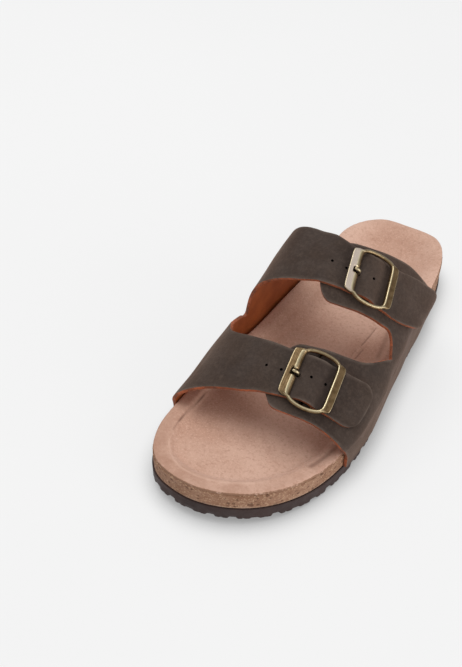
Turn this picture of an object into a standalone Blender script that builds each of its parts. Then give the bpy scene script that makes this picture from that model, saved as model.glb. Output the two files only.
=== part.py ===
"""Two-strap buckle footbed sandal for the left foot, standing on its sole.

Sizes are in millimetres until a mesh is made. Along runs from the back of the heel to the toe, which points
to -Y. Across is positive towards the outer side of the foot (+X), and the floor is z = 0.
"""

import math

import bmesh
import bpy
import numpy as np
from mathutils import Matrix, Vector

MM = 0.001
GAP = 0.3

# Driving sizes of the last and the sole
LENGTH = 279.0
BALL_WIDTH = 101.2
INSTEP_HEIGHT = 92.5
TOE_SPRING = 6.6
SPRING_START = 0.71
OUTSOLE_PROUD = 0.9

# Middle of the finished sandal's box, which becomes the origin
BOX_MIDDLE_ALONG = 139.45
BOX_MIDDLE_ACROSS = 3.12

# Outline of the footbed, as fractions of LENGTH and BALL_WIDTH: heel, outer side, toe, inner side
OUTLINE = (
    # along, across
    (0.000, 0.000),
    (0.014, 0.235),
    (0.096, 0.360),
    (0.250, 0.422),
    (0.406, 0.457),
    (0.532, 0.496),
    (0.639, 0.530),
    (0.747, 0.522),
    (0.844, 0.457),
    (0.923, 0.326),
    (0.977, 0.140),
    (1.000, -0.079),
    (0.981, -0.306),
    (0.909, -0.434),
    (0.801, -0.470),
    (0.675, -0.470),
    (0.550, -0.401),
    (0.406, -0.364),
    (0.263, -0.362),
    (0.101, -0.375),
    (0.013, -0.226),
)
TOE_ROW = 11
OUTLINE_STEPS = 24

# Heights of the sole, before toe spring is added
SOLE_SECTIONS = (
    # along, outsole top, rim top, rim width, sink of the bed, width of its slope
    (0.00, 7.4, 28.0, 4.0, 8.5, 20.0),
    (0.20, 7.4, 28.0, 4.5, 8.5, 20.0),
    (0.45, 8.0, 25.2, 6.0, 6.0, 16.0),
    (0.70, 8.8, 21.4, 7.0, 4.0, 7.0),
    (1.00, 8.8, 22.1, 8.0, 4.0, 6.0),
)
RIM_ROUND = 1.1
RIM_ROUND_WIDTH = 2.2
ARCH_SWELL = 4.0
ARCH_MIDDLE = 0.42
ARCH_SPREAD = 0.13
ARCH_REACH = 34.0

INSOLE_THICKNESS = 1.4
INSOLE_INSET = 0.5
INSOLE_RINGS = (INSOLE_INSET, 2.2, 6.5, 9.5, 14.0)
INSOLE_COLUMNS = 76
INSOLE_RUNGS = 5

LUG_COUNT = 56
LUG_SHARE = (0.0, 0.50, 0.62, 0.88)
LUG_DEPTH = 1.0
LUG_INSET = 0.8
LUG_TOP = 3.2
TREAD_INSET = 7.0

# Sections of the upper's outer face: two curves from the crest to the tops of the side walls
UPPER_SECTIONS = (
    # along, crest, crest across, inner wall top, outer wall top, inner fullness, inner flare, outer flare
    (0.190, 1.080, -0.040, 0.368, 0.497, 0.86, 1.8, 2.0),
    (0.335, 1.049, -0.049, 0.378, 0.519, 0.86, 1.8, 2.5),
    (0.442, 1.000, -0.049, 0.368, 0.508, 0.84, 1.8, 2.5),
    (0.514, 0.946, -0.030, 0.324, 0.476, 0.76, 1.8, 2.0),
    (0.571, 0.892, 0.000, 0.281, 0.432, 0.68, 1.8, 1.5),
    (0.621, 0.784, 0.030, 0.249, 0.378, 0.61, 1.3, 1.0),
    (0.693, 0.659, 0.049, 0.238, 0.314, 0.57, 0.5, 1.0),
    (0.765, 0.573, 0.079, 0.238, 0.303, 0.54, 0.3, 1.0),
    (0.836, 0.514, 0.079, 0.243, 0.292, 0.51, 0.0, 0.5),
)
OUTER_FULLNESS = 0.33
NORMAL_STEP = 0.01
LEATHER = 2.0

# Edges of the leather, as fractions of LENGTH. Turn is -1 at the inner sole, 0 at the inner wall's top,
# 1 at the crest, 2 at the outer wall's top and 3 at the outer sole.
INNER_EDGES = (
    # turn, front strap front, front strap back, rear strap front, rear strap back
    (-1.00, 0.826, 0.618, 0.564, 0.231),
    (0.00, 0.829, 0.590, 0.564, 0.330),
    (0.13, 0.830, 0.580, 0.565, 0.370),
    (0.19, 0.830, 0.603, 0.565, 0.388),
    (0.25, 0.829, 0.623, 0.566, 0.402),
    (0.36, 0.823, 0.645, 0.568, 0.421),
    (0.44, 0.819, 0.666, 0.570, 0.428),
    (0.54, 0.813, 0.678, 0.572, 0.431),
    (0.68, 0.806, 0.685, 0.573, 0.434),
    (0.84, 0.798, 0.688, 0.570, 0.438),
    (1.00, 0.788, 0.690, 0.563, 0.443),
    (1.12, 0.781, 0.686, 0.557, 0.446),
    (1.30, 0.768, 0.676, 0.541, 0.442),
    (1.40, 0.763, 0.669, 0.531, 0.431),
    (1.50, 0.757, 0.661, 0.520, 0.411),
    (1.72, 0.744, 0.641, 0.494, 0.363),
    (1.90, 0.731, 0.628, 0.461, 0.332),
    (2.05, 0.722, 0.620, 0.436, 0.304),
)
OUTER_EDGES = (
    # turn, front tongue front, front tongue back, rear tongue front, rear tongue back
    (1.00, 0.808, 0.676, 0.580, 0.450),
    (1.16, 0.806, 0.666, 0.583, 0.436),
    (1.30, 0.798, 0.652, 0.571, 0.414),
    (1.44, 0.788, 0.638, 0.552, 0.386),
    (1.60, 0.781, 0.617, 0.533, 0.358),
    (1.72, 0.779, 0.590, 0.526, 0.346),
    (1.77, 0.778, 0.577, 0.537, 0.341),
    (1.82, 0.778, 0.565, 0.554, 0.336),
    (2.00, 0.772, 0.572, 0.542, 0.312),
    (2.50, 0.758, 0.575, 0.525, 0.263),
    (3.00, 0.754, 0.575, 0.517, 0.213),
)
INNER_NOTCH = 0.13
OUTER_NOTCH = 1.82
STRAP_COLUMNS = 8
BRIDGE_COLUMNS = 8
QUARTER_ROWS = 7
STRAP_ROWS = (11, 12, 5)
HUMP_MARGIN = 0.05
TONGUE_ROWS = 10
END_ROWS = 4
NOTCH_ROUND = 0.02

# Where each strap ends, in turns, how its ends are rounded and how its tail stands off the outer quarter
STRAPS = {
    # name: tail end, tongue end, tail corner, tongue corner, girth of one turn, stand-off of the tail
    "front": (1.80, 0.95, 8.5, 11.0, 62.0, 0.0),
    "rear": (2.00, 1.04, 9.0, 12.0, 76.0, 3.0),
}
CLIMB = 0.16
LAYER_GAP = 0.35
TAIL_SINK = 0.5
SETTLE_START = 15.0
SETTLE_RUN = 6.0
STAND_RUN = 0.26

# Two places on each strap under its buckle, in turns and fractions of LENGTH. They set the middle of the
# buckle's frame and its direction.
BUCKLES = {
    # name: inner place's turn, along, outer place's turn, along
    "front": (1.056, 0.732, 1.479, 0.708),
    "rear": (1.271, 0.499, 1.491, 0.473),
}
BAR_SPAN = 21.6
BAR_MIDDLE = 1.2
BAR_REACH = 14.6
SIDE_BOW = 2.4
SIDE_SAG = 0.4
# How far each flat bar reaches from the loop, outwards and into the opening
INNER_BAR = (5.6, 1.2)
OUTER_BAR = (3.8, 1.2)
BAR_THICKNESS = 2.4
SIDE_WIDTH = 2.3
CORNER_POWER = 9.0
SECTION_POWER = 0.7
BAR_TURN = 0.55
BAR_TURN_RUN = 0.4
FRAME_POINTS = 40
FRAME_SIDES = 8
FRAME_SEAT = 1.8
FRAME_FINE = 720
CENTRE_BAR_RADIUS = 0.65
CENTRE_BAR_LIFT = 0.95
CENTRE_BAR_FLAT = 15.3
CENTRE_BAR_DROP = 0.3
CENTRE_BAR_BEND = 0.75
HUMP_FLAT = 2.2
HUMP_RUN = 6.3
PRONG_RADIUS = 0.9
PRONG_REST = 0.9
PRONG_REST_WIDTH = 3.4
PRONG_REST_EDGE = 0.8
PRONG_HOLE_AT = -7.9
PRONG_HOLE_RADIUS = 1.75
PRONG_HEEL = 1.8
PRONG_TIP = -12.0
PRONG_TIP_DROP = 0.2
PRONG_RISE = (
    # from the hole, share of the way up from the lower run to the upper one, millimetres more
    (3.2, 0.0, 0.0),
    (1.2, 0.0, 0.1),
    (0.5, 0.0, 1.4),
    (0.0, 0.5, 0.0),
    (-0.4, 1.0, -1.2),
    (-1.3, 1.0, -0.3),
    (-2.6, 1.0, 0.0),
)
SLOT_START = -9.4
SLOT_END = 3.0
SLOT_HALF_WIDTH = 1.7
CUT_DEPTH = 6.0
WIRE_SIDES = 2
HOLE_SIDES = 10

# Distance within which a mesh's points are one, and the angle in degrees from which an edge is sharp
WELD = 0.01
SHARP_EDGE = 40

# name: colour, roughness, metallic
FINISHES = {
    "rubber": ((0.045, 0.028, 0.024), 0.7, 0.0),
    "cork": ((0.31, 0.16, 0.085), 0.85, 0.0),
    "suede": ((0.50, 0.31, 0.23), 0.9, 0.0),
    "leather": ((0.045, 0.033, 0.026), 0.75, 0.0),
    "brass": ((0.42, 0.31, 0.15), 0.35, 1.0),
}


def rows_at(rows, where):
    """The named columns of a table at one place, on a smooth curve through its rows."""
    rows = np.array(rows)
    knots = rows[:, 0]
    slopes = np.gradient(rows[:, 1:], knots, axis=0)
    where = min(max(where, knots[0]), knots[-1])
    left = min(int(np.searchsorted(knots, where, side="right")) - 1, len(knots) - 2)
    span = knots[left + 1] - knots[left]
    t = (where - knots[left]) / span
    start = rows[left, 1:]
    end = rows[left + 1, 1:]
    cubic = (2 * t**3 - 3 * t**2 + 1) * start + (3 * t**2 - 2 * t**3) * end
    return cubic + span * ((t**3 - 2 * t**2 + t) * slopes[left] + (t**3 - t**2) * slopes[left + 1])


def ease(t):
    t = min(max(t, 0.0), 1.0)
    return t * t * (3 - 2 * t)


# The sole's outline

def closed_curve(points, steps):
    """A closed Catmull-Rom curve: steps points from each point to the next."""
    points = np.array(points)
    t = np.linspace(0, 1, steps, endpoint=False)[:, None]
    before = np.roll(points, 1, axis=0)
    after = np.roll(points, -1, axis=0)
    beyond = np.roll(points, -2, axis=0)
    pieces = []
    for p0, p1, p2, p3 in zip(before, points, after, beyond):
        bend = (2 * p0 - 5 * p1 + 4 * p2 - p3) * t**2 + (3 * p1 - p0 - 3 * p2 + p3) * t**3
        pieces.append(p1 + ((p2 - p0) * t + bend) / 2)
    return np.concatenate(pieces)


OUTLINE_CURVE = closed_curve(OUTLINE, OUTLINE_STEPS) * (LENGTH, BALL_WIDTH)


def spaced(curve, shares):
    """Points of an open curve at these shares of its length."""
    reach = np.concatenate([[0], np.cumsum(np.linalg.norm(np.diff(curve, axis=0), axis=1))])
    where = np.array(shares) * reach[-1]
    return np.stack([np.interp(where, reach, curve[:, 0]), np.interp(where, reach, curve[:, 1])], axis=1)


def outline_points(shares):
    """The outline at these shares of each half: outer side to the toe, inner side back.

    Columns i and -i then face each other.
    """
    toe = TOE_ROW * OUTLINE_STEPS
    outer = spaced(OUTLINE_CURVE[: toe + 1], shares)
    inner = spaced(np.concatenate([OUTLINE_CURVE[toe:], OUTLINE_CURVE[:1]]), shares)
    return np.concatenate([outer, inner])


def even_outline(columns):
    return outline_points(np.arange(columns // 2) * 2 / columns)


def outward(points):
    run = np.roll(points, -1, axis=0) - np.roll(points, 1, axis=0)
    normal = np.stack([-run[:, 1], run[:, 0]], axis=1)
    return normal / np.linalg.norm(normal, axis=1)[:, None]


def side_at(along, side):
    """How far across the outline reaches at this place on the outer (1) or inner (-1) side."""
    half = OUTLINE_CURVE[OUTLINE_CURVE[:, 1] * side > 0]
    half = half[np.argsort(half[:, 0])]
    return np.interp(along, half[:, 0], half[:, 1])


# Heights of the sole

def spring(along):
    rise = max(0.0, (along / LENGTH - SPRING_START) / (1 - SPRING_START))
    return TOE_SPRING * rise**2


def outsole_top(along):
    return rows_at(SOLE_SECTIONS, along / LENGTH)[0] + spring(along)


def footbed_top(along, across):
    """Height of the suede: rim, slope, bed and the swell of the arch."""
    _, rim, rim_width, sink, slope = rows_at(SOLE_SECTIONS, along / LENGTH)
    reach = np.hypot(OUTLINE_CURVE[:, 0] - along, OUTLINE_CURVE[:, 1] - across)
    inset = max(reach.min(), INSOLE_INSET)
    height = rim + spring(along)
    height -= RIM_ROUND * max(0.0, 1 - inset / RIM_ROUND_WIDTH) ** 2
    height -= sink * ease((inset - rim_width) / slope)
    if across < 0:
        place = (along / LENGTH - ARCH_MIDDLE) / ARCH_SPREAD
        height += ARCH_SWELL * math.exp(-(place**2)) * (1 - ease(inset / ARCH_REACH))
    return height


# The upper's outer face

def bezier(start, start_handle, end_handle, end, t):
    near = start * (1 - t) ** 3 + 3 * start_handle * (1 - t) ** 2 * t
    return near + 3 * end_handle * (1 - t) * t**2 + end * t**3


def upper_face(along, turn):
    """Point of the upper's outer face: (across, -along, height)."""
    section = rows_at(UPPER_SECTIONS, along / LENGTH)
    crest, middle, inner_top, outer_top, fullness, inner_flare, outer_flare = section
    crest *= INSTEP_HEIGHT
    inner_top *= INSTEP_HEIGHT
    outer_top *= INSTEP_HEIGHT
    middle *= BALL_WIDTH
    foot = outsole_top(along) + GAP
    inner = side_at(along, -1) - GAP - LEATHER
    outer = side_at(along, 1) + GAP + LEATHER
    inner_shoulder = inner - inner_flare
    shoulder = outer + outer_flare
    if turn < 0:
        across = inner_shoulder + (inner_shoulder - inner) * turn
        height = inner_top + (inner_top - foot) * turn
    elif turn <= 1:
        handle = middle - fullness * (middle - inner_shoulder)
        across = bezier(inner_shoulder, inner_shoulder, handle, middle, turn)
        height = bezier(inner_top, inner_top + fullness * (crest - inner_top), crest, crest, turn)
    elif turn <= 2:
        handle = middle + OUTER_FULLNESS * (shoulder - middle)
        across = bezier(middle, handle, shoulder, shoulder, turn - 1)
        handle = outer_top + OUTER_FULLNESS * (crest - outer_top)
        height = bezier(crest, crest, handle, outer_top, turn - 1)
    else:
        across = shoulder + (outer - shoulder) * (turn - 2)
        height = outer_top + (foot - outer_top) * (turn - 2)
    return np.array([across, -along, height])


def upper_normal(along, turn):
    over = upper_face(along, turn + NORMAL_STEP) - upper_face(along, turn - NORMAL_STEP)
    forward = upper_face(along + 1, turn) - upper_face(along - 1, turn)
    normal = np.cross(forward, over)
    return normal / np.linalg.norm(normal)


def lifted(along, turn, lift):
    point = upper_face(along, turn)
    if lift:
        point = point + upper_normal(along, turn) * lift
    return point


def buckle_frame(name):
    """Matrix of a buckle: X along the strap to the outer side, Y to the heel, Z off the strap."""
    inner_turn, inner_along, outer_turn, outer_along = BUCKLES[name]
    lift = LEATHER + LAYER_GAP
    inner = Vector(lifted(inner_along * LENGTH, inner_turn, lift))
    outer = Vector(lifted(outer_along * LENGTH, outer_turn, lift))
    middle_turn = (inner_turn + outer_turn) / 2
    middle_along = (inner_along + outer_along) / 2 * LENGTH
    over = (outer - inner).normalized()
    off = Vector(upper_normal(middle_along, middle_turn))
    off = (off - over * off.dot(over)).normalized()
    toward_heel = off.cross(over)
    place = (inner + outer) / 2 + off * (FRAME_SEAT + BAR_THICKNESS / 2)
    turned = Matrix((over, toward_heel, off)).transposed().to_4x4()
    return Matrix.Translation(place * MM) @ turned


BUCKLE_FRAMES = {name: buckle_frame(name) for name in BUCKLES}


def in_buckle(name, point):
    """A point in a buckle's own frame, in millimetres."""
    return BUCKLE_FRAMES[name].inverted() @ (Vector(point) * MM) / MM


def strap_lift(name, along, turn):
    """How far the strap's face stands off the tongue's: over its end, the hidden bar and the quarter."""
    tail_end, tongue_end, _, _, _, stand_off = STRAPS[name]
    past_bar = in_buckle(name, upper_face(along, turn)).x
    over_tongue = LEATHER + LAYER_GAP
    over_bar = LEATHER + CENTRE_BAR_LIFT + 2 * CENTRE_BAR_RADIUS + GAP
    lift = over_tongue * ease((turn - tongue_end + CLIMB) / CLIMB)
    lift += (over_bar - over_tongue) * (1 - ease((abs(past_bar) - HUMP_FLAT) / HUMP_RUN))
    lift -= (LAYER_GAP + TAIL_SINK) * ease((past_bar - SETTLE_START) / SETTLE_RUN)
    return lift + stand_off * ease((turn - tail_end + STAND_RUN) / STAND_RUN)


# Building meshes

def local(points):
    """Points as (across, -along, height) in millimetres to Blender vectors."""
    return [Vector(point) * MM for point in points]


def finish_material(name):
    colour, roughness, metallic = FINISHES[name]
    material = bpy.data.materials.new(name)
    material.use_nodes = True
    shader = material.node_tree.nodes["Principled BSDF"]
    shader.inputs["Base Color"].default_value = (*colour, 1)
    shader.inputs["Roughness"].default_value = roughness
    shader.inputs["Metallic"].default_value = metallic
    material.diffuse_color = (*colour, 1)
    return material


def add_object(name, data, collection, material=None):
    obj = bpy.data.objects.new(name, data)
    collection.objects.link(obj)
    obj.parent = ROOT
    if material:
        data.materials.append(material)
    if collection == CUTTERS:
        obj.hide_render = True
        obj.display_type = "WIRE"
    return obj


def mesh_object(name, bm, collection, material=None):
    bmesh.ops.recalc_face_normals(bm, faces=bm.faces)
    mesh = bpy.data.meshes.new(name)
    bm.to_mesh(mesh)
    bm.free()
    mesh.shade_smooth()
    mesh.set_sharp_from_angle(angle=math.radians(SHARP_EDGE))
    return add_object(name, mesh, collection, material)


def join_rings(bm, upper, lower):
    count = len(upper)
    for i in range(count):
        j = (i + 1) % count
        bm.faces.new((upper[i], lower[i], lower[j], upper[j]))


def ladder(bm, ring, rungs, height):
    """Closes a ring with rungs from each column to the one that faces it, at height(along, across)."""
    half = len(ring) // 2
    rows = []
    for i in range(1, half):
        row = [ring[i]]
        start = ring[i].co
        end = ring[-i].co
        for k in range(1, rungs):
            point = start.lerp(end, k / rungs)
            point.z = height(-point.y / MM, point.x / MM) * MM
            row.append(bm.verts.new(point))
        row.append(ring[-i])
        rows.append(row)
    for end, row in ((ring[0], rows[0]), (ring[half], rows[-1])):
        for k in range(rungs):
            bm.faces.new((end, row[k], row[k + 1]))
    for row, following in zip(rows, rows[1:]):
        for k in range(rungs):
            bm.faces.new((row[k], row[k + 1], following[k + 1], following[k]))


def ring_points(outline, inset, height):
    """A ring inside the outline, as vectors. height(along, across) gives each point's height."""
    points = outline - outward(outline) * inset
    return local([(across, -along, height(along, across)) for along, across in points])


def footbed_skin(bm, outline, insets, drop):
    """The footbed's top surface, this far below the suede's. Returns its outer ring."""

    def height(along, across):
        return footbed_top(along, across) - drop

    rings = []
    for inset in insets:
        rings.append([bm.verts.new(point) for point in ring_points(outline, inset, height)])
    for upper, lower in zip(rings, rings[1:]):
        join_rings(bm, upper, lower)
    ladder(bm, rings[-1], INSOLE_RUNGS, height)
    return rings[0]


def make_outsole():
    lug_starts = np.arange(LUG_COUNT // 2)[:, None] * 2 / LUG_COUNT
    shares = (lug_starts + np.array(LUG_SHARE) * 2 / LUG_COUNT).ravel()
    outline = outline_points(shares)
    in_notch = np.tile([False, False, True, True], LUG_COUNT)
    outer = outline + outward(outline) * OUTSOLE_PROUD
    bm = bmesh.new()
    rings = []
    for level in ("top", "lug top", "tread edge", "tread"):
        points = []
        for (along, across), normal, notch in zip(outer, outward(outline), in_notch):
            inset = 0.0
            height = spring(along)
            if level == "top":
                height = outsole_top(along)
            elif level == "lug top":
                height += LUG_TOP
            elif level == "tread edge" and notch:
                inset = LUG_INSET
                height += LUG_DEPTH
            elif level == "tread":
                inset = TREAD_INSET
                height = spring(along - normal[0] * inset)
            points.append((across - normal[1] * inset, -along + normal[0] * inset, height))
        rings.append([bm.verts.new(point) for point in local(points)])
    for upper, lower in zip(rings, rings[1:]):
        join_rings(bm, upper, lower)
    ladder(bm, rings[0], 1, None)
    ladder(bm, rings[-1], 1, None)
    return mesh_object("outsole", bm, PARTS, MATERIALS["rubber"])


def make_midsole():
    outline = even_outline(INSOLE_COLUMNS)
    bm = bmesh.new()
    top = footbed_skin(bm, outline, (0.0, *INSOLE_RINGS[1:]), INSOLE_THICKNESS + GAP)
    foot = [bm.verts.new(p) for p in ring_points(outline, 0.0, lambda along, _: outsole_top(along) + GAP)]
    join_rings(bm, top, foot)
    ladder(bm, foot, 1, None)
    return mesh_object("midsole", bm, PARTS, MATERIALS["cork"])


def make_insole():
    outline = even_outline(INSOLE_COLUMNS)
    bm = bmesh.new()
    top = footbed_skin(bm, outline, INSOLE_RINGS, 0.0)
    bottom = footbed_skin(bm, outline, INSOLE_RINGS, INSOLE_THICKNESS)
    join_rings(bm, top, bottom)
    return mesh_object("insole", bm, PARTS, MATERIALS["suede"])


def band_rows(first, stops, corner, girth):
    """A band's rows, as (turn, how far the corners are drawn in).

    stops gives the last turn of each stretch and its number of rows.
    """
    toward = math.copysign(1.0, stops[-1][0] - first)
    round_start = stops[-1][0] - toward * corner / girth
    turns = [first]
    for stop, rows in (*stops[:-1], (round_start, stops[-1][1])):
        turns += list(np.linspace(turns[-1], stop, rows + 1)[1:])
    rows = [(turn, 0.0) for turn in turns]
    for k in range(1, END_ROWS + 1):
        angle = math.pi / 2 * k / END_ROWS
        turn = round_start + toward * corner / girth * math.sin(angle)
        rows.append((turn, corner * (1 - math.cos(angle))))
    return rows


def make_quarter(name, edges, notch, sole_turn, bands, lift, collection):
    """A leather quarter with its two bands, as an open sheet that Solidify thickens.

    bands gives (stops, corner, girth), with no stops for the bridge between the straps.
    lift(band, along, turn) raises the face.
    """
    bm = bmesh.new()
    shares = {
        "front": np.linspace(0, 1, STRAP_COLUMNS + 1),
        "bridge": np.linspace(0, 1, BRIDGE_COLUMNS + 1),
        "rear": np.linspace(0, 1, STRAP_COLUMNS + 1),
    }
    columns = {"front": (0, 1), "bridge": (1, 2), "rear": (2, 3)}

    def vertex(band, turn, share, draw):
        lead, trail = rows_at(edges, turn)[list(columns[band])] * LENGTH
        along = (lead - draw) + (trail - lead + 2 * draw) * share
        rise = lift(band, along, turn) if band != "bridge" else 0.0
        return bm.verts.new(local([lifted(along, turn, rise)])[0])

    def top_turn(band, share):
        """The notch has round corners: the bridge's top row rises towards its ends."""
        if band != "bridge":
            return notch
        rise = NOTCH_ROUND * (abs(2 * share - 1) ** 4 - 1)
        return notch + rise * math.copysign(1.0, notch - sole_turn)

    def strip(grid):
        for row, following in zip(grid, grid[1:]):
            for k in range(len(row) - 1):
                bm.faces.new((row[k], row[k + 1], following[k + 1], following[k]))

    for band, (stops, corner, girth) in bands.items():
        lower = []
        for k in range(QUARTER_ROWS + 1):
            t = k / QUARTER_ROWS
            row = []
            for share in shares[band]:
                turn = sole_turn + (top_turn(band, share) - sole_turn) * t
                row.append(vertex(band, turn, share, 0.0))
            lower.append(row)
        upper = [lower[-1]]
        if stops:
            for turn, draw in band_rows(notch, stops, corner, girth)[1:]:
                upper.append([vertex(band, turn, share, draw) for share in shares[band]])
        strip(lower)
        strip(upper)
    bmesh.ops.remove_doubles(bm, verts=bm.verts, dist=WELD * MM)
    obj = mesh_object(name, bm, collection)
    thick = obj.modifiers.new("leather", "SOLIDIFY")
    thick.thickness = LEATHER * MM
    thick.offset = -1
    thick.use_even_offset = True
    return obj


def frame_path(angle):
    """The buckle's loop: two straight bars, and two sides that bow outwards."""
    wave = Vector((math.cos(angle), math.sin(angle)))
    x = BAR_SPAN / 2 * math.copysign(abs(wave.x) ** (2 / CORNER_POWER), wave.x)
    y = BAR_REACH * math.copysign(abs(wave.y) ** (2 / CORNER_POWER), wave.y)
    bow = SIDE_BOW * (1 - (2 * x / BAR_SPAN) ** 2)
    return BAR_MIDDLE + x, y + bow * y / BAR_REACH


def frame_points():
    """Points of the loop at equal steps. Its sides dip towards the strap."""
    fine = np.array([frame_path(2 * math.pi * k / FRAME_FINE) for k in range(FRAME_FINE + 1)])
    points = spaced(fine, np.arange(FRAME_POINTS) / FRAME_POINTS)
    dips = SIDE_SAG * (1 - (2 * (points[:, 0] - BAR_MIDDLE) / BAR_SPAN) ** 2)
    return [Vector((x, y, -dip)) for (x, y), dip in zip(points, dips)]


def frame_section(point, out):
    """The loop's cross-section: a flat bar or a thin side, with the prong's rest in the inner bar."""
    on_bar = ease((abs(out.x) - BAR_TURN) / BAR_TURN_RUN)
    bar_reach = INNER_BAR if point.x < 0 else OUTER_BAR
    at_rest = point.x < 0 and abs(point.y) < PRONG_REST_WIDTH / 2
    section = []
    for k in range(FRAME_SIDES):
        angle = 2 * math.pi * (k + 0.5) / FRAME_SIDES
        up = BAR_THICKNESS / 2 * math.copysign(abs(math.sin(angle)) ** SECTION_POWER, math.sin(angle))
        wave = math.copysign(abs(math.cos(angle)) ** SECTION_POWER, math.cos(angle))
        reach = bar_reach[0] if wave > 0 else bar_reach[1]
        aside = wave * (SIDE_WIDTH / 2 + (reach - SIDE_WIDTH / 2) * on_bar)
        if at_rest:
            aside = max(aside, PRONG_REST_EDGE)
            up -= PRONG_REST if up > 0 else 0
        section.append(point + out * aside + Vector((0, 0, up)))
    return section


def wire(name, points, radius, collection, material=None):
    """A round wire through these points, as a curve with filled ends."""
    curve = bpy.data.curves.new(name, "CURVE")
    curve.dimensions = "3D"
    curve.bevel_depth = radius * MM
    curve.bevel_resolution = WIRE_SIDES
    curve.use_fill_caps = True
    spline = curve.splines.new("POLY")
    spline.points.add(len(points) - 1)
    for spot, point in zip(spline.points, points):
        spot.co = (*(Vector(point) * MM), 1)
    return add_object(name, curve, collection, material)


def wire_mesh(name, points, radius):
    """The same wire as a closed mesh, for a Boolean."""
    curve = wire(name + "_guide", points, radius, CUTTERS)
    graph = bpy.context.evaluated_depsgraph_get()
    bm = bmesh.new()
    bm.from_mesh(bpy.data.meshes.new_from_object(curve.evaluated_get(graph)))
    bmesh.ops.remove_doubles(bm, verts=bm.verts, dist=WELD * MM)
    bpy.data.objects.remove(curve)
    return mesh_object(name, bm, CUTTERS)


def centre_bar_height(name):
    """Height of the hidden bar's middle in the buckle's frame: it lies just off the tongue."""
    inner_turn, inner_along, outer_turn, outer_along = BUCKLES[name]
    middle = (inner_along + outer_along) / 2 * LENGTH
    spot = lifted(middle, (inner_turn + outer_turn) / 2, CENTRE_BAR_LIFT + CENTRE_BAR_RADIUS)
    return in_buckle(name, spot).z


def make_buckle(name):
    """A loop with flat bars and thin bowed sides, and the hidden bar that the prong hooks round."""
    bm = bmesh.new()
    points = frame_points()
    rings = []
    for k, point in enumerate(points):
        run = (points[(k + 1) % FRAME_POINTS] - points[k - 1]).normalized()
        section = frame_section(point, Vector((run.y, -run.x, 0)))
        rings.append([bm.verts.new(corner * MM) for corner in section])
    for k in range(FRAME_POINTS):
        join_rings(bm, rings[k], rings[(k + 1) % FRAME_POINTS])
    obj = mesh_object("buckle_" + name, bm, PARTS, MATERIALS["brass"])
    obj.matrix_local = BUCKLE_FRAMES[name]
    low = centre_bar_height(name)
    end = BAR_REACH + SIDE_BOW
    bend = (end + CENTRE_BAR_FLAT) / 2
    half = [(end, -CENTRE_BAR_DROP), (bend, low * CENTRE_BAR_BEND), (CENTRE_BAR_FLAT, low)]
    route = [(0, -y, z) for y, z in half] + [(0, y, z) for y, z in reversed(half)]
    bar = wire_mesh("centre_bar_" + name, route, CENTRE_BAR_RADIUS)
    bar.matrix_local = BUCKLE_FRAMES[name]
    boolean(obj, bar, "UNION")
    return obj


def make_prong(name):
    """A pin from under the hidden bar, up through the strap and into the rest on the inner bar."""
    under = centre_bar_height(name) - CENTRE_BAR_RADIUS - GAP - PRONG_RADIUS
    over = BAR_THICKNESS / 2 - PRONG_REST + GAP + PRONG_RADIUS
    route = [(PRONG_HEEL, 0, under)]
    for step, share, more in PRONG_RISE:
        route.append((PRONG_HOLE_AT + step, 0, under + (over - under) * share + more))
    route.append((PRONG_TIP, 0, over - PRONG_TIP_DROP))
    obj = wire("prong_" + name, route, PRONG_RADIUS, PARTS, MATERIALS["brass"])
    obj.matrix_local = BUCKLE_FRAMES[name]
    return obj


def prong_hole(name):
    """The hole in the strap that the prong comes through."""
    bm = bmesh.new()
    bmesh.ops.create_cone(
        bm,
        cap_ends=True,
        segments=HOLE_SIDES,
        radius1=PRONG_HOLE_RADIUS * MM,
        radius2=PRONG_HOLE_RADIUS * MM,
        depth=CUT_DEPTH * MM,
    )
    obj = mesh_object("prong_hole_" + name, bm, CUTTERS)
    obj.matrix_local = BUCKLE_FRAMES[name] @ Matrix.Translation((PRONG_HOLE_AT * MM, 0, -CUT_DEPTH / 2 * MM))
    return obj


def tongue_slot(name):
    """The slot in the tongue that leaves room for the prong's heel."""
    bm = bmesh.new()
    bmesh.ops.create_cube(bm, size=MM)
    bmesh.ops.scale(bm, vec=(SLOT_END - SLOT_START, 2 * SLOT_HALF_WIDTH, CUT_DEPTH), verts=bm.verts)
    obj = mesh_object("tongue_slot_" + name, bm, CUTTERS)
    low = centre_bar_height(name) - CENTRE_BAR_RADIUS - LEATHER / 2
    middle = Vector(((SLOT_START + SLOT_END) / 2, 0, low))
    obj.matrix_local = BUCKLE_FRAMES[name] @ Matrix.Translation(middle * MM)
    return obj


def boolean(obj, other, operation):
    modifier = obj.modifiers.new(other.name, "BOOLEAN")
    modifier.operation = operation
    modifier.object = other


def make_upper():
    """The inner quarter with its straps, joined to the outer quarter where their tails lie on it."""

    def flat(band, along, turn):
        return 0.0

    straps = {"bridge": ((), 0, 0)}
    tongues = {"bridge": ((), 0, 0)}
    for name, (tail_end, tongue_end, tail_corner, tongue_corner, girth, _) in STRAPS.items():
        inner_turn, _, outer_turn, _ = BUCKLES[name]
        stops = zip((inner_turn - HUMP_MARGIN, outer_turn + HUMP_MARGIN, tail_end), STRAP_ROWS)
        straps[name] = (tuple(stops), tail_corner, girth)
        tongues[name] = (((tongue_end, TONGUE_ROWS),), tongue_corner, girth)
    inner = make_quarter("upper", INNER_EDGES, INNER_NOTCH, -1.0, straps, strap_lift, PARTS)
    inner.data.materials.append(MATERIALS["leather"])
    outer = make_quarter("outer_quarter", OUTER_EDGES, OUTER_NOTCH, 3.0, tongues, flat, CUTTERS)
    for name in STRAPS:
        boolean(inner, prong_hole(name), "DIFFERENCE")
        boolean(outer, tongue_slot(name), "DIFFERENCE")
    boolean(inner, outer, "UNION")
    return inner


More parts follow.
